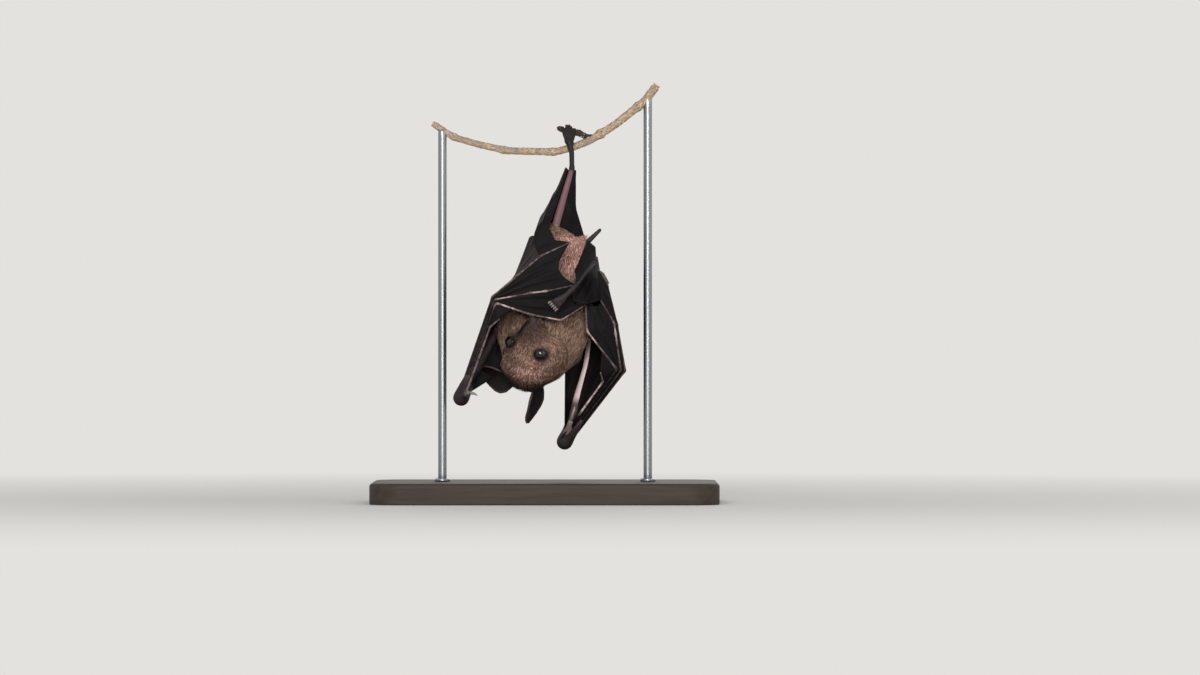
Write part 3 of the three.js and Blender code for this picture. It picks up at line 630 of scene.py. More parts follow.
# ---- the body: one skin drawn from a field of distances ----
def sections_shape(sections, origin, axes, thick, shrink):
    """Distance to a body of elliptical sections, each an ellipsoid this thick along the axis."""
    side, top, ahead = (unit(a) for a in axes)
    at = np.array([vec(s[0]) - origin for s in sections])
    half = np.array([s[1:3] for s in sections], float)
    place = at @ ahead
    order = np.argsort(place)
    place, at, half = place[order], at[order], half[order]
    fine = np.linspace(place[0], place[-1], 60)
    fine_half = np.stack([np.interp(fine, place, half[:, i]) for i in (0, 1)], 1)
    fine_half -= np.asarray(shrink(fine))[:, None] if callable(shrink) else shrink
    cap = np.minimum(thick, fine_half[:, 0])
    table = np.linspace(place[0] - thick, place[-1] + thick, 160)
    lift = np.sqrt(np.clip(1 - ((table[:, None] - fine) / cap) ** 2, 1e-6, 1))
    outline = [smoothed((lift * fine_half[:, i]).max(1), 2) for i in (0, 1)]
    centre = [smoothed(np.interp(table, place, at @ direction), 4) for direction in (side, top)]

    def shape(p):
        q = p - origin
        s = q @ ahead
        x = q @ side - np.interp(s, table, centre[0])
        y = q @ top - np.interp(s, table, centre[1])
        a, b = (np.maximum(np.interp(s, table, edge), 0.2) for edge in outline)
        f = np.sqrt((x / a) ** 2 + (y / b) ** 2)
        g = np.sqrt((x / a**2) ** 2 + (y / b**2) ** 2)
        past = np.maximum(table[0] - s, s - table[-1])
        return np.maximum(f * (f - 1) / np.maximum(g, 1e-6), past)

    return shape


def limb_shape(points, radii):
    """Distance to a limb: a line whose radius changes along it."""
    points, radii = np.array([vec(p) for p in points]), np.asarray(radii, float)

    def shape(p):
        best = np.full(p.shape[:-1], 1e3)
        for a, b, ra, rb in zip(points, points[1:], radii, radii[1:]):
            along = b - a
            t = np.clip(((p - a) @ along) / (along @ along), 0, 1)
            near = np.linalg.norm(p - a - t[..., None] * along, axis=-1) - (ra + (rb - ra) * t)
            best = np.minimum(best, near)
        return best

    return shape


def egg_shape(centre, half, axes):
    """Distance to an ellipsoid with these half sizes on these directions."""
    axes = np.array([unit(a) for a in axes])
    half = vec(half)

    def shape(p):
        q = (p - centre) @ axes.T
        f = np.linalg.norm(q / half, axis=-1)
        g = np.linalg.norm(q / half**2, axis=-1)
        return f * (f - 1) / np.maximum(g, 1e-6)

    return shape


class Clay:
    """A grid of distances to the surface, below zero inside. Shapes are pressed on and cut away."""

    def __init__(self, low, high, step):
        self.low, self.step = vec(low), step
        self.size = np.ceil((vec(high) - self.low) / step).astype(int) + 1
        self.field = np.full(self.size, 8.0, np.float32)

    def part(self, low, high):
        """The part of the grid between two corners: its cells and their points."""
        first = np.clip(np.floor((vec(low) - self.low) / self.step).astype(int), 0, self.size)
        last = np.clip(np.ceil((vec(high) - self.low) / self.step).astype(int) + 1, 0, self.size)
        cells = tuple(slice(a, b) for a, b in zip(first, last))
        axes = [self.low[i] + self.step * np.arange(first[i], last[i]) for i in range(3)]
        return cells, np.stack(np.meshgrid(*axes, indexing="ij"), -1)

    def press(self, shape, low, high, fillet, sign):
        """Adds or cuts a shape within two corners, with a rounded seam."""
        cells, p = self.part(low, high)
        old, new = self.field[cells], sign * shape(p).astype(np.float32)
        close = np.clip(fillet - np.abs(old - new), 0, None) / fillet
        nearest = np.minimum if sign > 0 else np.maximum
        self.field[cells] = nearest(old, new) - sign * close**2 * fillet / 4

    def add(self, shape, low, high, fillet):
        self.press(shape, low, high, fillet, 1)

    def cut(self, shape, low, high, fillet):
        self.press(shape, low, high, fillet, -1)

    def smooth(self, times):
        """Evens out the surface, this many times."""
        for _ in range(times):
            for axis in range(3):
                f = self.field
                ahead, behind = np.roll(f, -1, axis), np.roll(f, 1, axis)
                self.field = 0.5 * f + 0.25 * (ahead + behind)

    def surface(self):
        """Surface nets: a corner in each cell that the surface crosses, a face for each crossed edge."""
        f = self.field
        n = np.array(f.shape) - 1
        offsets = [(i, j, k) for i in (0, 1) for j in (0, 1) for k in (0, 1)]
        inside = f < 0
        count = sum(inside[i:n[0] + i, j:n[1] + j, k:n[2] + k].astype(np.int8) for i, j, k in offsets)
        cells = np.argwhere((count > 0) & (count < 8))
        number = np.full(n, -1, np.int32)
        number[tuple(cells.T)] = np.arange(len(cells))
        total, crossings = np.zeros((len(cells), 3)), np.zeros(len(cells))
        for a in offsets:
            for axis in range(3):
                if a[axis]:
                    continue
                b = tuple(1 if i == axis else a[i] for i in range(3))
                fa, fb = f[tuple((cells + a).T)], f[tuple((cells + b).T)]
                crossed = (fa < 0) != (fb < 0)
                t = np.where(crossed, fa / np.where(crossed, fa - fb, 1), 0)
                point = np.array(a) + t[:, None] * (np.array(b) - np.array(a))
                total += np.where(crossed[:, None], point, 0)
                crossings += crossed
        corners = self.low + self.step * (cells + total / crossings[:, None])
        faces = []
        for axis in range(3):
            u, v = (axis + 1) % 3, (axis + 2) % 3
            start = [slice(1, -1)] * 3
            start[axis] = slice(0, -1)
            ahead = list(start)
            ahead[axis] = slice(1, None)
            a, b = inside[tuple(start)], inside[tuple(ahead)]
            for leaving, mask in ((True, a & ~b), (False, b & ~a)):
                at = np.argwhere(mask) + [0 if i == axis else 1 for i in range(3)]
                step_u, step_v = np.eye(3, dtype=int)[u], np.eye(3, dtype=int)[v]
                ring = [at - step_u - step_v, at - step_v, at, at - step_u]
                quad = np.stack([number[tuple(c.T)] for c in ring], -1)
                faces.append(quad if leaving else quad[:, ::-1])
        return corners, np.concatenate(faces)


def toe_lines(side):
    """Each toe's line and its claw's point. The left toes go up past the twig and hook over its spur."""
    foot, found = FEET[side], []
    ball = vec(foot["ball"])
    for k in (-2, -1, 0, 1, 2):
        shift = vec(foot["spread"]) * foot["pitch"] * k
        line = [ball + shift * 0.55]
        if side == "left":
            stray_x, stray_z = STRAY[k + 2]
            for i, (y, z) in enumerate(HOOK["toes"]):
                far = (i + 1) / 3
                line.append(vec((ball[0] + shift[0] + stray_x * far, y, z + shift[2] + stray_z * far)))
            y, z = HOOK["claw"]
            claw = vec((ball[0] + shift[0] + stray_x, y, z + shift[2] + stray_z))
        else:
            line += [ball + vec(r) + shift * (0.9 + 0.2 * i) for i, r in enumerate(LOOSE["toes"])]
            claw = ball + vec(LOOSE["claw"]) + shift * 1.25
        found.append((line, claw))
    return found


def limb_shapes():
    """The limbs: CAD node, stretch, shape and fillet. Furred ones are thinner by their coat."""
    found = []

    def limb(node_name, stretch, points, radii, fillet):
        found.append((node_name, stretch, limb_shape(points, radii), fillet))

    thin = COAT["limb"]
    for side, places in LIMBS.items():
        hip, knee, ankle, elbow, wrist, shoulder = (
            vec(places[k]) for k in ("hip", "knee", "ankle", "elbow", "wrist", "shoulder"))
        calf, middle = mix(knee, ankle, 0.3), mix(shoulder, elbow, 0.5)
        limb(f"thigh_{side}", f"thigh_{side}", [hip, mix(hip, knee, 0.6), knee],
             [4.2 - thin, 3.4 - thin, 2.5 - thin], 2.0)
        limb(f"shin_{side}", f"shin_{side}", [knee, calf, ankle], [1.5, 1.45, 0.95], 1.2)
        arm = f"upper_arm_{side}"
        limb(arm, arm, [shoulder, middle], [3.6 - thin, 2.9 - thin], 1.6)
        limb(arm, f"elbow_{side}", [middle, elbow], [2.9 - thin, 1.6], 1.6)
        belly = mix(elbow, wrist, 0.55) + vec(places["bow"])
        limb(f"forearm_{side}", f"forearm_{side}", [elbow, belly, mix(belly, wrist, 0.72), wrist],
             [1.6, 1.8, 1.9, 2.4], 0.8)
        palm = mix(wrist, places["knuckle"], 0.3)
        thumb, foot = f"thumb_{side}", f"foot_{side}"
        limb(thumb, f"palm_{side}", [wrist, mix(wrist, palm, 0.4), palm], [2.6, 2.3, 1.0], 2.2)
        limb(thumb, thumb, [wrist, places["thumb"][0]], [1.5, 0.95], 1.0)
        sole, ball = FEET[side]["sole"], FEET[side]["ball"]
        toes = [line for line, _ in toe_lines(side)]
        limb(foot, foot, [ankle, sole, ball], [0.95, 1.0, 1.25], 0.8)
        limb(foot, foot, [toes[0][0], toes[-1][0]], [0.85, 0.85], 0.8)
        for line in toes:
            limb(foot, foot, line, np.linspace(0.62, 0.5, len(line)), 0.2)
    limb("tail", "tail", TAIL, [1.2, 0.7], 1.0)
    return found


def coat_on_head(along):
    """How deep the coat is at a distance along the head."""
    return np.interp(along, [0, 11, 18, 23, 27], [COAT["crown"], 0.95, 0.7, 0.35, COAT["muzzle"]])


trunk_shape = sections_shape(TRUNK, vec(TRUNK[0][0]), (SIDE, VENTRAL, CRANIAL), 5, COAT["trunk"])
head_shape = sections_shape(
    [(tuple(on_head(a, 0, rise)), w, h) for a, w, h, rise in HEAD],
    HEAD_BACK, (HEAD_SIDE, HEAD_TOP, MUZZLE), 3.2, coat_on_head,
)
LIMB_SHAPES = limb_shapes()
GAZE = {s: unit(HEAD_SIDE * s * 0.52 + HEAD_TOP * 0.83 + MUZZLE * 0.26) for s in (-1, 1)}
EYES = {s: on_head(EYE_AT["along"], s * EYE_AT["side"], EYE_AT["top"]) for s in (-1, 1)}
HEAD_AXES = (HEAD_SIDE, HEAD_TOP, MUZZLE)


def node_box(*names):
    """The box round some CAD nodes, in millimetres."""
    boxes = [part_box(n) for n in names]
    low = np.min([vec(b[0]) for b in boxes], 0) / MM
    high = np.max([vec(b[1]) for b in boxes], 0) / MM
    return low, high


def press_head(clay):
    """The head: its long form, swellings, nostrils, mouth and the openings of the eyes."""
    low, high = node_box("head")
    low, high = low - 2, high + 2

    def swell(swelling, side=1, top=high):
        (along, out, rise), half, fillet = swelling
        clay.add(egg_shape(on_head(along, side * out, rise), half, HEAD_AXES), low, top, fillet)

    swell(CHEEK_POUCH, top=high + 4)
    clay.add(head_shape, low, high, 4.5)
    for s in (-1, 1):
        clay.add(egg_shape(EYES[s] - GAZE[s] * 0.35, EYE_BULGE, HEAD_AXES), low, high, 1.8)
        swell(JAW_MUSCLE, s)
        swell(UPPER_LIP, s)
        root, tip = (on_head(along, s * side, top)
                     for along, side, top in (NOSTRIL["root"], NOSTRIL["tip"]))
        clay.add(limb_shape([root, tip], [NOSTRIL["radius"]] * 2), low, high, 0.35)
        out = unit(MUZZLE * 0.62 + HEAD_SIDE * s * 0.5 + HEAD_TOP * 0.6)
        reach, radii = zip(*NOSTRIL["hole"])
        clay.cut(limb_shape([tip + out * r for r in reach], radii), low, high, 0.15)
    swell(CHIN)

    def mouth(p):
        """A slit round the muzzle between the lips, no deeper than the lips are thick."""
        along, _, top = head_coords(p)
        height = MOUTH["height"] + MOUTH["rise"] * (MOUTH["end"] - along)
        slit = np.maximum(np.abs(top - height) - MOUTH["gap"] / 2, MOUTH["corner"] - along)
        return np.maximum(slit, -MOUTH["depth"] - head_shape(p))

    clay.cut(mouth, low, high, 0.15)
    for s in (-1, 1):
        clay.cut(egg_shape(EYES[s], (EYE + 0.05,) * 3, HEAD_AXES), low, high, 0.1)
        corner, up = lid_axes(s)
        opening = EYES[s] + GAZE[s] * 3.2 + HEAD_TOP * 0.35
        clay.cut(egg_shape(opening, LIDS_APART, (corner, up, GAZE[s])), low, high, 0.25)


def lid_axes(s):
    """Directions across an eye: towards its front corner, and square to that."""
    corner = unit(MUZZLE - GAZE[s] * (MUZZLE @ GAZE[s]))
    return corner, np.cross(GAZE[s], corner)


def part_of(p, *kinds):
    """Distance to the nearest stretch of limb whose name starts with one of these words."""
    return np.min([shape(p) for _, stretch, shape, _ in LIMB_SHAPES if stretch.startswith(kinds)], 0)


def near(p, place, reach):
    """1 at a place, falling smoothly to 0 at its reach."""
    return 1 - smoothstep(0.45 * reach, reach, np.linalg.norm(p - vec(place), axis=-1))


def from_eye(p):
    """Distance to the middle of the nearer eye."""
    return np.min([np.linalg.norm(p - EYES[s], axis=-1) for s in (-1, 1)], 0)


def markings(p):
    """What skin and coat share at a point: how bare, blushed, dark and pale it is, where dark holds painted
    shade too and pale is painted highlight.
    """
    along, side, top = head_coords(p)
    head, trunk = head_shape(p), trunk_shape(p)
    of_head, of_nose = head < 3, head < 2.5
    on_face = smoothstep(-1.5, 1.5, trunk - head) * of_head
    furred = np.minimum(np.minimum(head, trunk), part_of(p, "thigh", "upper_arm"))
    naked = part_of(p, "shin", "foot", "forearm", "elbow", "palm", "thumb", "tail")
    bare = smoothstep(-0.4, 0.6, furred - naked)
    bare = np.maximum(bare, smoothstep(26.6, 27.6, along) * of_nose)

    # Pinkish fur on the brow, under the right eye and on the rump, and pinkish skin down the left shin.
    brow = np.exp(-(((along - 10) / 6) ** 2 + ((side - 2.2) / 4.4) ** 2)) * smoothstep(1, 6, top)
    cheek = np.exp(-(((along - 17) / 5) ** 2 + ((side - 6.5) / 3) ** 2))
    rump = 1 - smoothstep(7, 12.5, np.linalg.norm((p - [12, -5, 92]) * [1, 0.7, 1], axis=-1))
    shin = (part_of(p, "shin_left") < 0.5) * smoothstep(101, 106, p[..., 2])
    blush = on_face * (0.45 * brow + 0.36 * cheek + 0.06) + 0.75 * rump * (1 - bare) + 0.5 * shin * bare

    # Dark: a stripe of painted shade from the left eye to the nose, the bridge, one temple, the lids and
    # the nape.
    flank = np.exp(-(((side + 4.6 - 0.12 * (along - 18)) / 1.5) ** 2)) * smoothstep(15.5, 18.5, along)
    bridge = smoothstep(17, 24, along) * np.exp(-((side / 5) ** 2))
    temple = np.exp(-(((along - 9) / 6) ** 2 + ((side + 3) / 3.6) ** 2))
    # The lids' dark skin, and painted shadow round each eye.
    lids = 1 - smoothstep(2.8, 3.6, from_eye(p))
    # The nape: dark fur, with painted shade at the back of the head.
    nape = 1 - smoothstep(4, 12, along + 0.35 * top)
    soot = on_face * (0.75 * flank + 0.7 * bridge + 0.42 * temple) + of_head * (0.9 * lids + 0.95 * nape)
    # Dark too: the right shin, as painted shade, and the feet, elbows, wrists, the left ankle and forearm,
    # and the tail.
    soot += (part_of(p, "shin_right") < 0.4) + 0.85 * (part_of(p, "foot", "elbow") < 0.4)
    soot += 0.2 * shin + 0.6 * smoothstep(121, 129, p[..., 2])
    for limb in LIMBS.values():
        soot += 0.85 * near(p, limb["wrist"], 14) * (bare > 0.5)
    soot += 0.6 * (part_of(p, "forearm_left") < 0.4) + 0.8 * (part_of(p, "tail") < 0.4)

    # A painted highlight runs down the front of the folded right forearm, and fainter ones lie on both
    # thumbs.
    heights, depths = zip(*[(RIGHT[k][2], RIGHT[k][1]) for k in ("wrist", "elbow")])
    before = np.interp(p[..., 2], heights, depths) - p[..., 1]
    arm = (part_of(p, "forearm_right") < 0.5) * smoothstep(-0.3, 0.8, before) \
        * smoothstep(36.5, 40.5, p[..., 2]) * (1 - smoothstep(58, 67, p[..., 2]))
    pale = np.maximum(arm, 0.35 * (part_of(p, "thumb_right") < 0.2)) * (bare > 0.5)
    pale = np.maximum(pale, 0.3 * near(p, LEFT["thumb"][0], 3))
    soot *= 1 - pale
    # Fur stops short of the membrane that the right knee lies under, and the bare skin there is darkened as
    # painted shade; the nose is dark.
    knee_gap_shade = near(p, RIGHT["knee"], 26) * smoothstep(14.6, 15.8, p[..., 0]) * smoothstep(78, 81, p[..., 2])
    bare, soot = np.maximum(bare, knee_gap_shade), np.maximum(soot, 0.8 * knee_gap_shade)
    soot = np.maximum(soot, 0.7 * smoothstep(24.8, 26.4, along) * of_nose)
    return {"bare": bare, "blush": np.clip(blush, 0, 1), "soot": np.clip(soot, 0, 1), "pale": pale}


LIMB_NODES = ("thigh", "shin", "foot", "upper_arm", "forearm", "thumb")
BODY_NODES = ["head", "trunk", "neck", "tail"] + [f"{n}_{side}" for side in LIMBS for n in LIMB_NODES]


def body_corners():
    """The corners and faces of head, neck, trunk, tail and limbs, as one surface."""
    low, high = node_box(*BODY_NODES, "ear_left", "ear_right")
    clay = Clay(low - 1.5, high + 1.5, CLAY_STEP)
    clay.add(trunk_shape, *node_box("trunk", "neck"), 1.0)
    for node_name, _, shape, fillet in LIMB_SHAPES:
        node_low, node_high = node_box(node_name)
        clay.add(shape, node_low - 6, node_high + 6, fillet)
    press_head(clay)
    clay.smooth(1)
    return clay.surface()


def lid_ring(s, sides=10, around=48):
    """The moist rim of the eyelids: a fine closed ring on the eyeball, longer towards the nose."""
    gaze = GAZE[s]
    corner, up = lid_axes(s)
    phi = circle(around)
    opening = np.radians(46 + 6 * np.cos(2 * phi) + 2 * np.cos(phi))[:, None]
    out = np.cos(phi)[:, None] * corner + np.sin(phi)[:, None] * up
    radial = np.cos(opening) * gaze + np.sin(opening) * out
    away = -np.sin(opening) * gaze + np.cos(opening) * out
    centre = EYES[s] + radial * (EYE + 0.02) + away * 0.18
    turn = circle(sides)[:, None]
    ring = centre[:, None] + 0.2 * np.cos(turn) * radial[:, None] + 0.34 * np.sin(turn) * away[:, None]
    return part_from(ring.reshape(-1, 3), [ring_quads(around + 1, sides) % (around * sides)])


def body_skin(corners, quads, finish):
    """The skin with its lids, and the markings that the coat shares."""
    whole = together([part_from(corners, [quads]), *[lid_ring(s) for s in (-1, 1)]])
    numbers = markings(whole["corners"])
    lid = np.arange(len(whole["corners"])) >= len(corners)
    for key in ("bare", "soot"):
        numbers[key] = np.where(lid, 1.0, numbers[key])
    return mesh_from("body_skin", whole["corners"], whole["faces"], finish, numbers)


# The ear from below its base to just past its tip: share of the length, share of the width, and curl.
EAR_WIDTHS = ([-0.08, 0.05, 0.2, 0.4, 0.6, 0.78, 0.92, 1.02],
              [0.42, 0.62, 0.86, 1.0, 0.95, 0.76, 0.46, 0.1])
EAR_CURLS = ([-0.08, 0.3, 0.7, 1.02], [1.35, 0.85, 0.5, 0.3])


def ear(side, finish):
    """A thin leaf, cupped most at its base, with a paler rim."""
    sizes = EARS[side]
    base, tip = vec(sizes["base"]), vec(sizes["tip"])
    along = unit(tip - base)
    across = unit(np.cross(along, sizes["faces"]))
    out = np.cross(across, along)
    length = np.linalg.norm(tip - base)

    def surface(u, v):
        t = -0.08 + 1.1 * u
        wide = np.interp(t, *EAR_WIDTHS) * sizes["width"] / 2
        s = 2 * v - 1
        curl = np.interp(t, *EAR_CURLS)
        x = np.sin(s * curl) / np.sin(np.minimum(curl, 1.5)) * wide
        z = (1 - np.cos(s * curl)) / curl * wide * 1.1
        ripple = 0.12 * np.sin(9 * t + 3 * s)
        return (base + along * (t * length)[..., None] + across * x[..., None]
                + out * (z - 1.1 + ripple)[..., None])

    u = np.linspace(0, 1, 29)[:, None]
    v = np.linspace(0, 1, 25)[None, :]
    rim = smoothstep(0.86, 0.99, np.abs(2 * v - 1)) * smoothstep(0.1, 0.3, u) + smoothstep(0.93, 1, u)
    part = sheet(surface, 28, 24, 0.55, rim=np.clip(rim, 0, 1))
    return joined(f"ear_{side}_skin", [part], finish)


def eyeball(side, finish):
    """A ball whose clear front bulges a little."""
    s = -1 if side == "left" else 1
    centre, gaze = EYES[s], GAZE[s]
    a = unit(np.cross(gaze, (0.1, 0.2, 1)))
    b = np.cross(gaze, a)
    polar = np.linspace(0, np.pi, 33)
    turn = circle(48)[:, None]
    radius = EYE * (1 + 0.03 * np.exp(-((polar / 0.6) ** 2)))
    around = np.cos(turn) * a + np.sin(turn) * b
    rings = [centre + r * (np.cos(angle) * gaze + np.sin(angle) * around)
             for r, angle in zip(radius[1:-1], polar[1:-1])]
    poles = np.array([centre + gaze * radius[0], centre - gaze * radius[-1]])
    iris = smoothstep(0.42, 0.5, polar[1:-1]) * (1 - smoothstep(0.85, 1.0, polar[1:-1]))
    numbers = {"iris": np.concatenate([np.repeat(iris, len(turn)), [0, 0]])}
    ball = round_part(rings, poles, None, numbers, turned=True)
    return joined(f"eyeball_{side}", [ball], finish, mapped=False)


def hook(root, tip, bow, radius, steps=14):
    """A claw: thick at the root, bowed, and fine at the point."""
    root, tip = vec(root), vec(tip)
    t = np.linspace(0, 1, steps)
    line = root + (tip - root) * t[:, None] + vec(bow) * np.sin(np.pi * t)[:, None]
    part = tube(line, radius * (1 - t) ** 0.75 + 0.06, sides=10)
    part["numbers"] = {"point": bar_numbers(t)}
    return part


def claws(side, finish):
    """The claws of one foot and one thumb."""
    parts = []
    for line, claw in toe_lines(side):
        ahead = unit(line[-1] - line[-2])
        bow = (0, 0.5, 0.5) if side == "left" else ahead * 0.5 + vec((0, -0.6, 0.3))
        parts.append(hook(line[-1] + ahead * 0.15, claw, bow, 0.46))
    joint, tip = LIMBS[side]["thumb"]
    bow = unit(vec(joint) - vec(LIMBS[side]["wrist"])) * 0.9
    parts.append(hook(joint, tip, bow, 0.7))
    return joined(f"claws_{side}", parts, finish, mapped=False)


# ---- wings ----
# How strongly each finger's bone shows pale, partly as bone through its skin and partly as painted
# highlight: in the palm, then beyond the knuckle.
BONE_SHOWS = {
    "left": {2: (0.3, 0.28), 3: (0.05, 0.3), 4: (0.04, 0.16), 5: (0.05, 0.24)},
    "right": {2: (0.9, 0.3), 3: (0.05, 0.22), 4: (0.1, 0.16), 5: (0.14, 0.18)},
}
# Places where painted highlights brighten the bones.
BONE_HIGHLIGHTS = [(-14.6, -19.6, 74), (4.6, -15.2, 69), (-2.4, -17.6, 79), (27, -9, 64), (16, -11.4, 62)]


def finger_lines(side):
    """The line of each finger from the wrist to its tip."""
    limb = LIMBS[side]
    wrist, knuckle = vec(limb["wrist"]), vec(limb["knuckle"])
    ray = unit(knuckle - wrist)
    fan = unit(vec(limb["fan"]) - ray * (vec(limb["fan"]) @ ray))
    lines = {}
    for k in (2, 3, 4, 5):
        from_middle = fan * (k - 3.5)
        start = wrist + from_middle * FINGER_PITCH["wrist"]
        end = knuckle + from_middle * FINGER_PITCH["knuckle"]
        if k == 2:
            end = mix(start, end, limb["second"])
        lines[k] = [start, end, *[vec(p) for p in limb["fingers"][k]]]
    return lines


def finger(side, k, points):
    """A finger bone in its skin: swollen at each joint, finer towards the tip."""
    line = at_shares(bent(points, corner=1.0), np.linspace(0, 1, 90))
    length = lengths(line)
    joints = [length[np.argmin(np.linalg.norm(line - p, axis=1))] for p in points[1:-1]]
    radii = BONE * (1 - 0.5 * (length / length[-1]) ** 1.5)
    for at in joints:
        radii += FINGER_JOINT["swelling"] * np.exp(-(((length - at) / FINGER_JOINT["half"]) ** 2))
    palm, beyond = BONE_SHOWS[side][k]
    shows = smoothed(np.where(length < joints[0], palm, beyond), 3)
    # The right second finger's painted highlight starts just past the middle of its palm bone.
    if (side, k) == ("right", 2):
        shows *= smoothstep(0.42, 0.56, length / joints[0])
    # Painted highlights, strongest at each listed place.
    for place in BONE_HIGHLIGHTS:
        shows = shows + 0.5 * near(line, place, 5) * (shows > 0.08)
    for at in joints:
        shows *= 1 - 0.35 * np.exp(-(((length - at) / 1.6) ** 2))
    part = tube(line, radii, sides=10)
    part["numbers"] = {"bone": bar_numbers(shows)}
    return part


def line_of(*points):
    """A straight-sided edge of a membrane, as a function of shares."""
    path = bent(points, corner=1.0)
    return lambda t: at_shares(path, t)


def swing_of(*points):
    """A smooth free edge of a membrane."""
    path = swept(points)
    return lambda t: at_shares(path, t)


def patch(low, high, start, end):
    """A skin spanned by four edges: low and high along u, start and end along v."""
    def surface(u, v):
        on_u, on_v = u[..., None], v[..., None]
        corners = mix(mix(low(0.0), low(1.0), on_u), mix(high(0.0), high(1.0), on_u), on_v)
        return mix(low(u), high(u), on_v) + mix(start(v), end(v), on_u) - corners

    return surface


def web(first, second, hollow=0.0, belly=(0, 0, 0)):
    """A skin between two edges: its free end is hollowed, and its middle can belly out."""
    def surface(u, v):
        t = u * (1 - hollow * np.sin(np.pi * v))
        lift = np.sin(np.pi * v) * np.sin(np.pi * np.minimum(u, 0.92))
        return mix(first(t), second(t), v[..., None]) + vec(belly) * lift[..., None]

    return surface


def folded(surface, folds, depth, phase=0.0):
    """The same skin with soft folds along it that fade at its edges."""
    def with_folds(u, v):
        p = surface(u, v)
        wave = np.sin(2 * np.pi * folds * v + phase + 1.7 * np.sin(2.3 * u + phase))
        wave += 0.4 * np.sin(2 * np.pi * folds * 2.3 * v + 5 * u)
        ease = np.sin(np.pi * v) ** 0.7 * smoothstep(0, 0.12, u) * smoothstep(0, 0.1, 1 - u)
        return p + outward(p) * (depth * wave * ease)[..., None]

    return with_folds


def hand(side, lines):
    """Fingers, and the skin between them."""
    behind_fourth, behind_third = LIMBS[side]["hollow"]
    tips = {k: line_of(*lines[k][1:]) for k in (2, 3, 4, 5)}
    parts = [finger(side, k, lines[k]) for k in (2, 3, 4, 5)]
    parts.append(sheet(folded(web(tips[4], tips[5], behind_fourth), 2.5, 0.28), 60, 40))
    parts.append(sheet(folded(web(tips[3], tips[4], behind_third), 2, 0.22, 1.0), 60, 30))
    third = lines[3]
    edge = line_of(mix(third[0], third[1], 0.76), third[1], mix(third[1], third[2], 0.5))
    parts.append(sheet(web(tips[2], edge), 20, 8))
    for k in (2, 3, 4):
        palm = web(line_of(*lines[k][:2]), line_of(*lines[k + 1][:2]))
        parts.append(sheet(folded(palm, 0.5, 0.5, 1.57), 50, 6))
    return parts


def left_sheets(lines):
    """The wing's inner part from arm to leg, and the half of the tail's membrane on this side."""
    limb, fifth = LEFT, lines[5]
    ankle, knee, elbow = (vec(limb[k]) for k in ("ankle", "knee", "elbow"))
    heel, loose = ankle + (-1.6, -0.4, -0.6), ankle + (1.5, 0.9, -0.6)
    inner_ankle, hem = ankle + (0.8, 0.6, -0.6), heel + (-0.7, 1.4, 1)
    arm = line_of(limb["wrist"], elbow)
    fold = line_of(elbow, *limb["back_fold"], hem)
    trailing = line_of(fifth[4], *limb["trailing"], heel)
    outer = web(arm, line_of(*fifth[:4]))
    front = patch(line_of(elbow, fifth[3], fifth[4]), line_of(hem, heel), fold, trailing)
    inner = web(fold, line_of(*limb["flank"], knee + (0.6, 1.4, 3), heel + (0.4, 1, 0)))
    lead = web(arm, line_of(limb["throat"], limb["shoulder"], elbow), 0, (0, 4, 0))
    edge = swing_of(limb["tail_root"], *limb["tail_edge"], loose)
    tail = patch(line_of(knee, limb["hip"], limb["tail_root"]), line_of(inner_ankle, loose),
                 line_of(knee, inner_ankle), edge)
    return [
        sheet(folded(outer, 3, 0.3), 70, 30), sheet(folded(front, 3, 0.35, 0.6), 50, 50),
        sheet(folded(inner, 2, 0.2), 50, 20), sheet(folded(lead, 1.5, 0.2), 50, 16),
        sheet(folded(tail, 2, 0.25, 2.0), 40, 40),
    ]


def right_sheets(lines):
    """The same on the right, where the free foot draws the membranes forward and down."""
    limb, fifth = RIGHT, lines[5]
    ankle, elbow = vec(limb["ankle"]), vec(limb["elbow"])
    knee_side, heel = vec(limb["knee"]) + (1.6, 3, 1.4), ankle + (0.8, 1, 1.6)
    tail_heel = ankle + (0.6, 1, 1.4)
    loose = tail_heel + (-0.6, -0.4, 0.6)
    arm = line_of(limb["wrist"], elbow)
    fold = line_of(elbow, *limb["back_fold"], knee_side)
    trailing = line_of(fifth[3], fifth[4], *limb["trailing"], heel)
    outer = web(arm, line_of(*fifth[:4]))
    front = patch(line_of(elbow, limb["front_fold"], fifth[3]), line_of(knee_side, heel), fold, trailing)
    inner = web(fold, line_of(*limb["flank"], knee_side))
    lead = web(arm, line_of(limb["throat"], limb["shoulder"], elbow))
    edge = swing_of(limb["tail_root"], *limb["tail_edge"], loose)
    tail = patch(line_of(*limb["tail_side"], limb["tail_root"]), line_of(tail_heel, loose),
                 line_of(limb["tail_side"][0], tail_heel), edge)
    return [
        sheet(folded(outer, 3, 0.35), 70, 30), sheet(folded(front, 3, 0.3, 0.6), 50, 40),
        sheet(folded(inner, 2, 0.2), 30, 20), sheet(folded(lead, 1.5, 0.2), 50, 16),
        sheet(folded(tail, 1.5, 0.2), 30, 30),
    ]


def wing(side, finish):
    """One wing: its hand and the membranes behind it."""
    lines = finger_lines(side)
    sheets = left_sheets(lines) if side == "left" else right_sheets(lines)
    return joined(f"wing_{side}", hand(side, lines) + sheets, finish)


WING_NODES = ("wing_sheet", "wing_front", "wing_inner", "arm_sheet", "tail_membrane", "membrane_4_5",
              "membrane_3_4", "membrane_2_3", "finger_2", "finger_3", "finger_4", "finger_5")


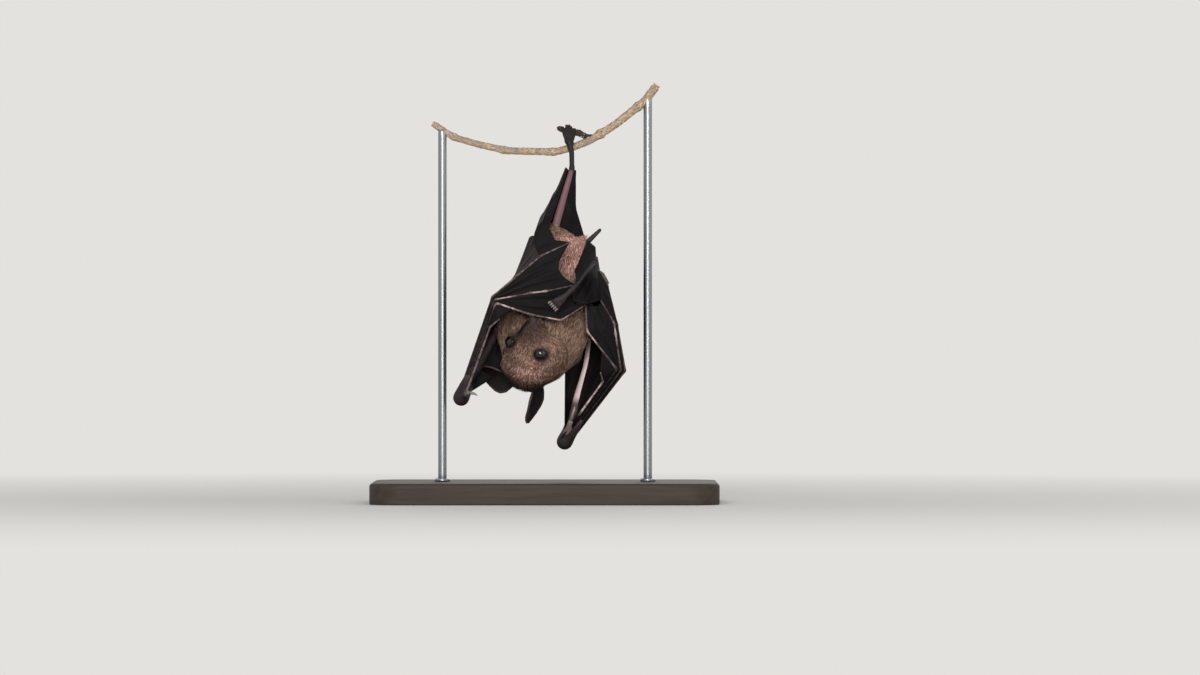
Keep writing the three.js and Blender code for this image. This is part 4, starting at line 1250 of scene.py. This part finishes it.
# ---- the coat ----
# Each piece of coat: locks for each square millimetre, their length, width and rise, and how few are pale.
COAT_PIECES = {
    "face": {"thick": 20, "length": 1.7, "width": 0.24, "rise": 0.42, "dim": 2.9},
    "crown": {"thick": 16, "length": 2.3, "width": 0.26, "rise": 0.7, "dim": 2.6},
    "chest": {"thick": 11, "length": 3.1, "width": 0.3, "rise": 1.05, "dim": 1.7},
    "back": {"thick": 10, "length": 3.2, "width": 0.32, "rise": 1.1, "dim": 2.2},
    "rump": {"thick": 14, "length": 2.6, "width": 0.27, "rise": 0.85, "dim": 2.3},
    "limbs": {"thick": 14, "length": 1.8, "width": 0.26, "rise": 0.42, "dim": 2.4},
}
FURRED = {"thigh": ("hip", "knee"), "upper_arm": ("shoulder", "elbow")}  # furred limbs and their ends


def lie_of_coat(p, normal):
    """Hair runs back from the nose, from throat and nape to the rump, and down each limb."""
    head, trunk = head_shape(p), trunk_shape(p)
    on_face = smoothstep(-2.0, 2.0, trunk - head)[:, None]
    _, side, top = head_coords(p)
    spread = HEAD_SIDE * (side / 9)[:, None] + HEAD_TOP * (top / 14)[:, None]
    face = -MUZZLE + 0.45 * spread + vec((0, 0.35, 0))
    trunk_flow = -unit(CRANIAL) + 0.18 * unit(SIDE) * np.sign((p @ unit(SIDE)))[:, None]
    flow = mix(trunk_flow, face, on_face)
    for side_name, limb in LIMBS.items():
        for kind, (start, end) in FURRED.items():
            nearer = part_of(p, f"{kind}_{side_name}") - np.minimum(head, trunk)
            down = unit(vec(limb[end]) - vec(limb[start]))
            flow = mix(flow, down, smoothstep(1.5, -0.5, nearer)[:, None])
    flow = unit(flow) + rng.normal(0, 0.16, flow.shape)
    flow -= normal * (flow * normal).sum(-1, keepdims=True)
    return unit(flow)


def scatter(corners, quads, density):
    """Even random roots on the skin: place and outward direction."""
    a, b, c, d = (corners[quads[:, i]] for i in range(4))
    cross = np.cross(c - a, d - b)
    area = np.linalg.norm(cross, axis=1) / 2
    count = int(area.sum() * density)
    pick = rng.choice(len(quads), count, p=area / area.sum())
    s, t = rng.random((2, count, 1))
    low, high = a[pick] * (1 - s) + b[pick] * s, d[pick] * (1 - s) + c[pick] * s
    return low * (1 - t) + high * t, unit(cross[pick])


def region_of(p):
    """The coat piece that each root belongs to."""
    along, _, _ = head_coords(p)
    head, trunk = head_shape(p), trunk_shape(p)
    limbs = part_of(p, "thigh", "upper_arm")
    belly = (p - vec(TRUNK[3][0])) @ unit(VENTRAL)
    rump = np.linalg.norm(p - [11, 0, 93], axis=-1) < 12
    region = np.where(belly > 0, "chest", "back").astype(object)
    region[rump] = "rump"
    of_head = head < trunk
    region[of_head & (along <= 11)] = "crown"
    region[of_head & (along > 11)] = "face"
    region[limbs < np.minimum(head, trunk)] = "limbs"
    return region


def turn_share(forward, sideways):
    """How far round an axis a point lies, from 0 to 1, where forward is a half."""
    return 0.5 + np.arctan2(sideways, forward) / (2 * np.pi)


def unwrapped(kind, p):
    """Where a root lies on a flat unwrap of its region: round the axis, and along it."""
    if kind in ("face", "crown"):
        along, side, top = head_coords(p)
        return np.stack([turn_share(top, side), (along + 2) / 32], -1)
    if kind == "limbs":
        # Each of the four furred limbs has a quarter of the map.
        furred = [(limb, side) for limb in FURRED for side in LIMBS]
        nearest = np.argmin([part_of(p, f"{limb}_{side}") for limb, side in furred], 0)
        uv = np.zeros((len(p), 2))
        for i, (limb, side) in enumerate(furred):
            root, tip = (vec(LIMBS[side][joint]) for joint in FURRED[limb])
            axis = unit(tip - root)
            a = unit(np.cross(axis, (0.2, 1, 0.1)))
            q = p - root
            share = (q @ axis + 5) / (np.linalg.norm(tip - root) + 10)
            here = nearest == i
            quarter = (0.02 + 0.5 * (i % 2), 0.02 + 0.5 * (i // 2))
            angle = turn_share(q @ a, q @ np.cross(axis, a))
            uv[here] = np.stack([angle, share], -1)[here] * 0.46 + quarter
        return uv
    q = p - vec(TRUNK[0][0])
    angle = turn_share(q @ unit(VENTRAL), q @ unit(SIDE) - 2)
    return np.stack([angle, (q @ unit(CRANIAL) + 6) / 70], -1)


PATCH = 0.003  # width of a lock's patch on the unwrap


def locks(kind, roots, normals, marks, finish):
    """Thin three-sided locks that lie back over the skin and end in a point."""
    sizes = COAT_PIECES[kind]
    n = len(roots)
    lie = lie_of_coat(roots, normals)
    across = unit(np.cross(lie, normals))
    vary = rng.uniform(0.72, 1.28, (n, 1))
    snout = 1 - 0.5 * smoothstep(17, 26, head_coords(roots)[0])[:, None] * (kind == "face")
    length = sizes["length"] * vary * snout
    width = sizes["width"] * rng.uniform(0.75, 1.25, (n, 1)) * snout**0.5
    rise = sizes["rise"] * rng.uniform(0.55, 1.15, (n, 1)) * snout**0.5
    swing = across * rng.normal(0, 0.12, (n, 1)) * length
    root = roots - normals * 0.06
    middle = root + lie * length * 0.5 + normals * rise * 0.8 + swing * 0.4
    tip = root + lie * length + normals * rise + swing
    half = across * width / 2
    corners = np.stack([
        root - half, root + half, root + normals * width * 0.35,
        middle - half * 0.8, middle + half * 0.8, middle + normals * width * 0.28, tip,
    ], 1)
    sides = []
    for a, b in ((0, 1), (1, 2), (2, 0)):
        sides += [[a, b, b + 3], [a, b + 3, a + 3], [a + 3, b + 3, 6]]
    pattern = np.array(sides + [[0, 2, 1]])
    faces = (np.arange(n)[:, None, None] * 7 + pattern).reshape(-1, 3)
    spot = [[-0.5, -0.5], [0.5, -0.5], [0, -0.5], [-0.4, 0.05], [0.4, 0.05], [0, 0.05], [0, 0.5]]
    spot = np.array(spot) * PATCH
    uv = np.clip(unwrapped(kind, roots), 0.003, 0.997)[:, None] + spot
    each = {
        "rise": np.tile([0.0, 0.0, 0.1, 0.55, 0.55, 0.6, 1.0], n),
        "shade": np.repeat(rng.random(n) ** sizes["dim"], 7),
        "blush": np.repeat(marks["blush"], 7),
        "soot": np.repeat(marks["soot"], 7),
    }
    corners, uv = corners.reshape(-1, 3), uv.reshape(-1, 2)
    return mesh_from(f"coat_{kind}", corners, [faces], finish, each, uv, "OFBake")


def coat(corners, quads, finish):
    """The pieces of the coat, grown over the skin wherever it is not bare, and clear of the eyes."""
    densest = max(s["thick"] for s in COAT_PIECES.values())
    roots, normals = scatter(corners, quads, densest)
    marks = markings(roots)
    region = region_of(roots)
    share = np.array([COAT_PIECES[r]["thick"] / densest for r in region])
    grows = (rng.random(len(roots)) < share) & (rng.random(len(roots)) > marks["bare"] * 1.6 - 0.1)
    grows &= from_eye(roots) > EYE + 0.65
    pieces = []
    for kind in COAT_PIECES:
        here = grows & (region == kind)
        own = {key: value[here] for key, value in marks.items()}
        pieces.append(locks(kind, roots[here], normals[here], own, finish))
    return pieces


# ---- perch and stand ----
def twig(finish):
    """A twig with swollen nodes and small knobs, and its dead spur."""
    share = np.linspace(0, 1, 260)
    path = at_shares(bent(TWIG_LINE, corner=5, rounds=3), share)
    radii = np.interp(share, [0, 1], TWIG_RADIUS)
    for at, swell in TWIG_NODES:
        radii = radii + swell * np.exp(-(((share - at) / 0.012) ** 2))
    main = tube(path, radii - 0.05, sides=28)
    share = np.linspace(0, 1, 90)
    spur_path = at_shares(bent(SPUR_LINE, corner=1.5, rounds=3), share)
    spur_radii = np.interp(share, np.linspace(0, 1, len(SPUR_RADII)), SPUR_RADII)
    spur = tube(spur_path, spur_radii - 0.05, sides=22, soot=0.92)
    for part, line, rough in ((main, path, 0.07), (spur, spur_path, 0.12)):
        p = part["corners"]
        ripple = np.sin(p[:, 0] * 3.1 + p[:, 2] * 2.3) * np.sin(p[:, 1] * 4.3 + p[:, 0] * 0.9) \
            + 0.6 * np.sin(p[:, 0] * 7.7 + p[:, 1] * 5.1) * np.sin(p[:, 2] * 6.1)
        middle = line[np.argmin(((p[:, None] - line[None]) ** 2).sum(-1), 1)]
        part["corners"] = p + unit(p - middle) * (rough * ripple)[:, None]
    return joined("twig", [main, spur], finish)


def twig_pores(bark, finish):
    """Corky pores scattered over the bark, each a low blister."""
    tree = bpy.data.node_groups.new("corky_pores", "GeometryNodeTree")
    tree.interface.new_socket("Bark", in_out="INPUT", socket_type="NodeSocketGeometry")
    sizes = {}
    for name, value in (("Pores per square metre", 1.7e5), ("Half width", 0.00034), ("Height", 0.0002)):
        socket = tree.interface.new_socket(name, in_out="INPUT", socket_type="NodeSocketFloat")
        sizes[socket.identifier] = value
    tree.interface.new_socket("Pores", in_out="OUTPUT", socket_type="NodeSocketGeometry")
    given = node(tree, "NodeGroupInput").outputs
    spots = node(tree, "GeometryNodeDistributePointsOnFaces", None, {"Seed": 5},
                 {"Mesh": given["Bark"], "Density": given["Pores per square metre"]})
    size = node(tree, "ShaderNodeCombineXYZ", None, None,
                {"X": given["Half width"], "Y": given["Half width"], "Z": given["Height"]})
    vary = node(tree, "FunctionNodeRandomValue", {"data_type": "FLOAT"}, {2: 0.45, 3: 1.25, "Seed": 8})
    scaled = node(tree, "ShaderNodeVectorMath", {"operation": "SCALE"}, None,
                  {0: size.outputs[0], "Scale": vary.outputs[1]})
    bead = node(tree, "GeometryNodeMeshIcoSphere", None, {"Radius": 1.0, "Subdivisions": 2})
    beads = node(tree, "GeometryNodeInstanceOnPoints", None, None, {
        "Points": spots.outputs["Points"], "Rotation": spots.outputs["Rotation"],
        "Instance": bead.outputs["Mesh"], "Scale": scaled.outputs[0]})
    solid = node(tree, "GeometryNodeRealizeInstances", None, None, {"Geometry": beads.outputs[0]})
    painted = node(tree, "GeometryNodeSetMaterial", None, {"Material": finish},
                   {"Geometry": solid.outputs[0]})
    node(tree, "NodeGroupOutput", None, None, {"Pores": painted.outputs[0]})

    obj = bpy.data.objects.new("twig_pores", bark.data.copy())
    bpy.context.scene.collection.objects.link(obj)
    modifier = obj.modifiers.new("pores", "NODES")
    modifier.node_group = tree
    for identifier, value in sizes.items():
        modifier[identifier] = value
    seen = obj.evaluated_get(bpy.context.evaluated_depsgraph_get())
    pores = bpy.data.meshes.new_from_object(seen)
    obj.modifiers.remove(modifier)
    obj.data = pores
    return obj


# The rings of a sawn end: how far each stands out from the cut, and its share of the twig's radius.
END_RINGS = [(-0.5, 0.9), (0, 0.86), (0.02, 0.4)]


def twig_ends(finish):
    """The sawn ends, flat, with their rings mapped round the pith."""
    parts, sides = [], 32
    angle = circle(sides)[:, None]
    for (before, end), radius in zip((TWIG_LINE[1::-1], TWIG_LINE[-2:]), TWIG_RADIUS):
        ahead = unit(vec(end) - vec(before))
        side = unit(np.cross(ahead, (0, 1, 0)))
        up = np.cross(ahead, side)
        ring = np.cos(angle) * side + np.sin(angle) * up
        face = vec(end) + ahead * (radius + 0.1)
        rings = [face + ahead * out + ring * radius * share for out, share in END_RINGS]
        corners = np.concatenate([*rings, [face + ahead * END_RINGS[-1][0]]])
        n = len(rings)
        faces = [ring_quads(n, sides), end_cap(n - 1, n * sides, sides)]
        flat = np.concatenate([*(ring * share for _, share in END_RINGS), [[0, 0, 0]]])
        parts.append(part_from(corners, faces, np.stack([flat @ side, flat @ up], -1) * 0.2))
    return joined("twig_ends", parts, finish)


def board(finish):
    """The stand's board, with round corners and a rounded top edge."""
    low, high = node_box("stand_base")
    half, height = (high - low) / 2, high[2] - low[2]
    corner, edge = 12, 1.4  # radius of its corners, and of its top edge
    sides = 96
    angle = circle(sides, np.pi / sides)
    turn = np.stack([np.cos(angle), np.sin(angle)], -1)

    def ring(inset, z):
        middle = np.sign(turn) * (half[:2] - corner)
        return np.column_stack([middle + turn * (corner - inset), np.full(sides, z)])

    bend = np.linspace(0, np.pi / 2, 7)
    rings = [ring(edge * (1 - math.sin(a)) * 0.4, edge * 0.4 * (1 - math.cos(a))) for a in bend]
    rings += [ring(edge * (1 - math.cos(a)), height - edge * (1 - math.sin(a))) for a in bend]
    rings += [ring(corner * 0.8, height)]
    return joined("stand_board", [round_part(rings, [[0, 0, 0], [0, 0, height]])], finish, mapped=False)


# The collar at a rod's foot: radius and height above the board.
COLLAR = [(2.9, 0.0), (2.9, 0.7), (2.75, 1.0), (2.4, 1.2), (1.5, 1.25)]


def rod(side, finish):
    """A rod with a small collar where it enters the board."""
    low, high = node_box(f"stand_rod_{side}")
    x, y = (low[:2] + high[:2]) / 2
    radius, foot = (high[0] - low[0]) / 2, low[2]
    heights = np.linspace(foot + 0.6, high[2] - radius * 0.4, 60)
    bar = tube([(x, y, z) for z in heights], radius, sides=32)
    angle = circle(40)
    rings = [np.column_stack([x + r * np.cos(angle), y + r * np.sin(angle), np.full(len(angle), foot + z)])
             for r, z in COLLAR]
    collar = round_part(rings, [[x, y, foot], [x, y, foot + COLLAR[-1][1]]])
    return joined(f"stand_bar_{side}", [bar, collar], finish, mapped=False)


# ---- floor, light and camera ----
BACKGROUND = "#e4e2de"


def seen_ray(tree):
    """1 for a ray of the camera, of a reflection or of glass, 0 for the rays that carry light."""
    path = node(tree, "ShaderNodeLightPath").outputs
    mirrored = node(tree, "ShaderNodeMath", {"operation": "MAXIMUM"}, None,
                    {0: path["Is Glossy Ray"], 1: path["Is Transmission Ray"]})
    return node(tree, "ShaderNodeMath", {"operation": "MAXIMUM"}, None,
                {0: path["Is Camera Ray"], 1: mirrored.outputs[0]}).outputs[0]


def floor():
    """A wide pale floor that melts into the pale backdrop within 0.6 metres of the middle."""
    bpy.ops.mesh.primitive_circle_add(vertices=96, radius=40, fill_type="NGON")
    obj = bpy.context.object
    obj.name = "floor"
    made, tree, shader = material("painted_floor", Roughness=0.9, Specular_IOR_Level=0.2)
    shader.inputs["Base Color"].default_value = linear("#e6e4e0")
    place = node(tree, "ShaderNodeTexCoord").outputs["Object"]
    away = node(tree, "ShaderNodeVectorMath", {"operation": "LENGTH"}, None, {0: place})
    fade = node(tree, "ShaderNodeMapRange", None, {"From Min": 0.12, "From Max": 0.6},
                {"Value": away.outputs["Value"]})
    share = node(tree, "ShaderNodeMath", {"operation": "MULTIPLY"}, None,
                 {0: fade.outputs[0], 1: seen_ray(tree)})
    glow = node(tree, "ShaderNodeEmission", None, {"Color": linear(BACKGROUND)})
    both = node(tree, "ShaderNodeMixShader", None, None,
                {0: share.outputs[0], 1: shader.outputs[0], 2: glow.outputs[0]})
    output = next(n for n in tree.nodes if n.type == "OUTPUT_MATERIAL")
    tree.links.new(both.outputs[0], output.inputs["Surface"])
    obj.data.materials.append(made)


def surroundings():
    """Soft grey light from all round, and a pale backdrop where the camera or a reflection sees it."""
    world = bpy.data.worlds.new("studio")
    bpy.context.scene.world = world
    world.use_nodes = True
    tree = world.node_tree
    tree.nodes.clear()
    ambient = node(tree, "ShaderNodeBackground", None, {"Color": linear("#ffffff"), "Strength": 0.32})
    backdrop = node(tree, "ShaderNodeBackground", None, {"Color": linear(BACKGROUND), "Strength": 1.0})
    both = node(tree, "ShaderNodeMixShader", None, None,
                {0: seen_ray(tree), 1: ambient.outputs[0], 2: backdrop.outputs[0]})
    node(tree, "ShaderNodeOutputWorld", links={"Surface": both.outputs[0]})


def aimed(obj, target):
    """Turns a light or the camera to face a place."""
    obj.rotation_euler = (Vector(target) - obj.location).to_track_quat("-Z", "Y").to_euler()


LIGHTS_FACE = (0, 0, 0.08)  # the middle of the bat
# Each light: its place and width in metres, and its power in watts.
LIGHTS = {
    "key": ((-0.3, -2.0, 0.75), 0.8, 24),
    "fill": ((0.3, -2.7, 0.46), 0.8, 21),
    "side": ((1.6, -0.6, 0.7), 1.2, 4),
    "back": ((0.4, 1.8, 0.9), 1.3, 7),
}


def softbox(name, place, size, power):
    """A round soft light that faces the middle of the bat."""
    light = bpy.data.lights.new(name, "AREA")
    light.shape = "DISK"
    light.size, light.energy = size, power
    obj = bpy.data.objects.new(name, light)
    bpy.context.scene.collection.objects.link(obj)
    obj.location = place
    aimed(obj, LIGHTS_FACE)


CAMERA = {"at": (0.0206, -2.6, 0.062), "target": (0.0206, 0, 0.062), "wide": 0.45}


def camera():
    """A long lens, level with the bat."""
    data = bpy.data.cameras.new("camera")
    obj = bpy.data.objects.new("camera", data)
    bpy.context.scene.collection.objects.link(obj)
    obj.location = CAMERA["at"]
    aimed(obj, CAMERA["target"])
    data.sensor_width = 36
    data.lens = data.sensor_width * -CAMERA["at"][1] / CAMERA["wide"]
    bpy.context.scene.camera = obj


# ---- making it all ----
bpy.context.scene.view_settings.view_transform = "Standard"
skin_surface = body_corners()
fur, skin, leather, ear_finish = velvet_fur(), downy_skin(), wing_leather(), ear_leather()
eye_finish, claw_finish = wet_eye(), horn()

parts = []  # piece, slot, replaced nodes
parts.append((body_skin(*skin_surface, skin), "arm_skin", BODY_NODES))
for side in ("left", "right"):
    claw_nodes = [f"thumb_claw_{side}"] + [f"claw_{side}_{i}" for i in range(1, 6)]
    parts.append((ear(side, ear_finish), "ear_skin", [f"ear_{side}"]))
    parts.append((eyeball(side, eye_finish), "eye", [f"eye_{side}"]))
    parts.append((claws(side, claw_finish), "claw", claw_nodes))
    parts.append((wing(side, leather), "wing_skin", [f"{n}_{side}" for n in WING_NODES]))
for piece in coat(*skin_surface, fur):
    slot = "face_fur" if piece.name in ("coat_face", "coat_crown") else "body_fur"
    parts.append((piece, slot, ["head"] if slot == "face_fur" else ["trunk", "neck"]))
bark = twig(twig_bark())
for piece in (bark, twig_pores(bark, cork()), twig_ends(cut_wood())):
    parts.append((piece, "twig", ["perch"]))
parts.append((board(board_paint()), "stand_board", ["stand_base"]))
steel = brushed_steel()
for side in ("left", "right"):
    parts.append((rod(side, steel), "stand_rod", [f"stand_rod_{side}"]))

floor()
surroundings()
for name, (place, size, power) in LIGHTS.items():
    softbox(name, place, size, power)
camera()

for piece, slot, nodes in parts:
    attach(piece, "root")
    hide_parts(*nodes)
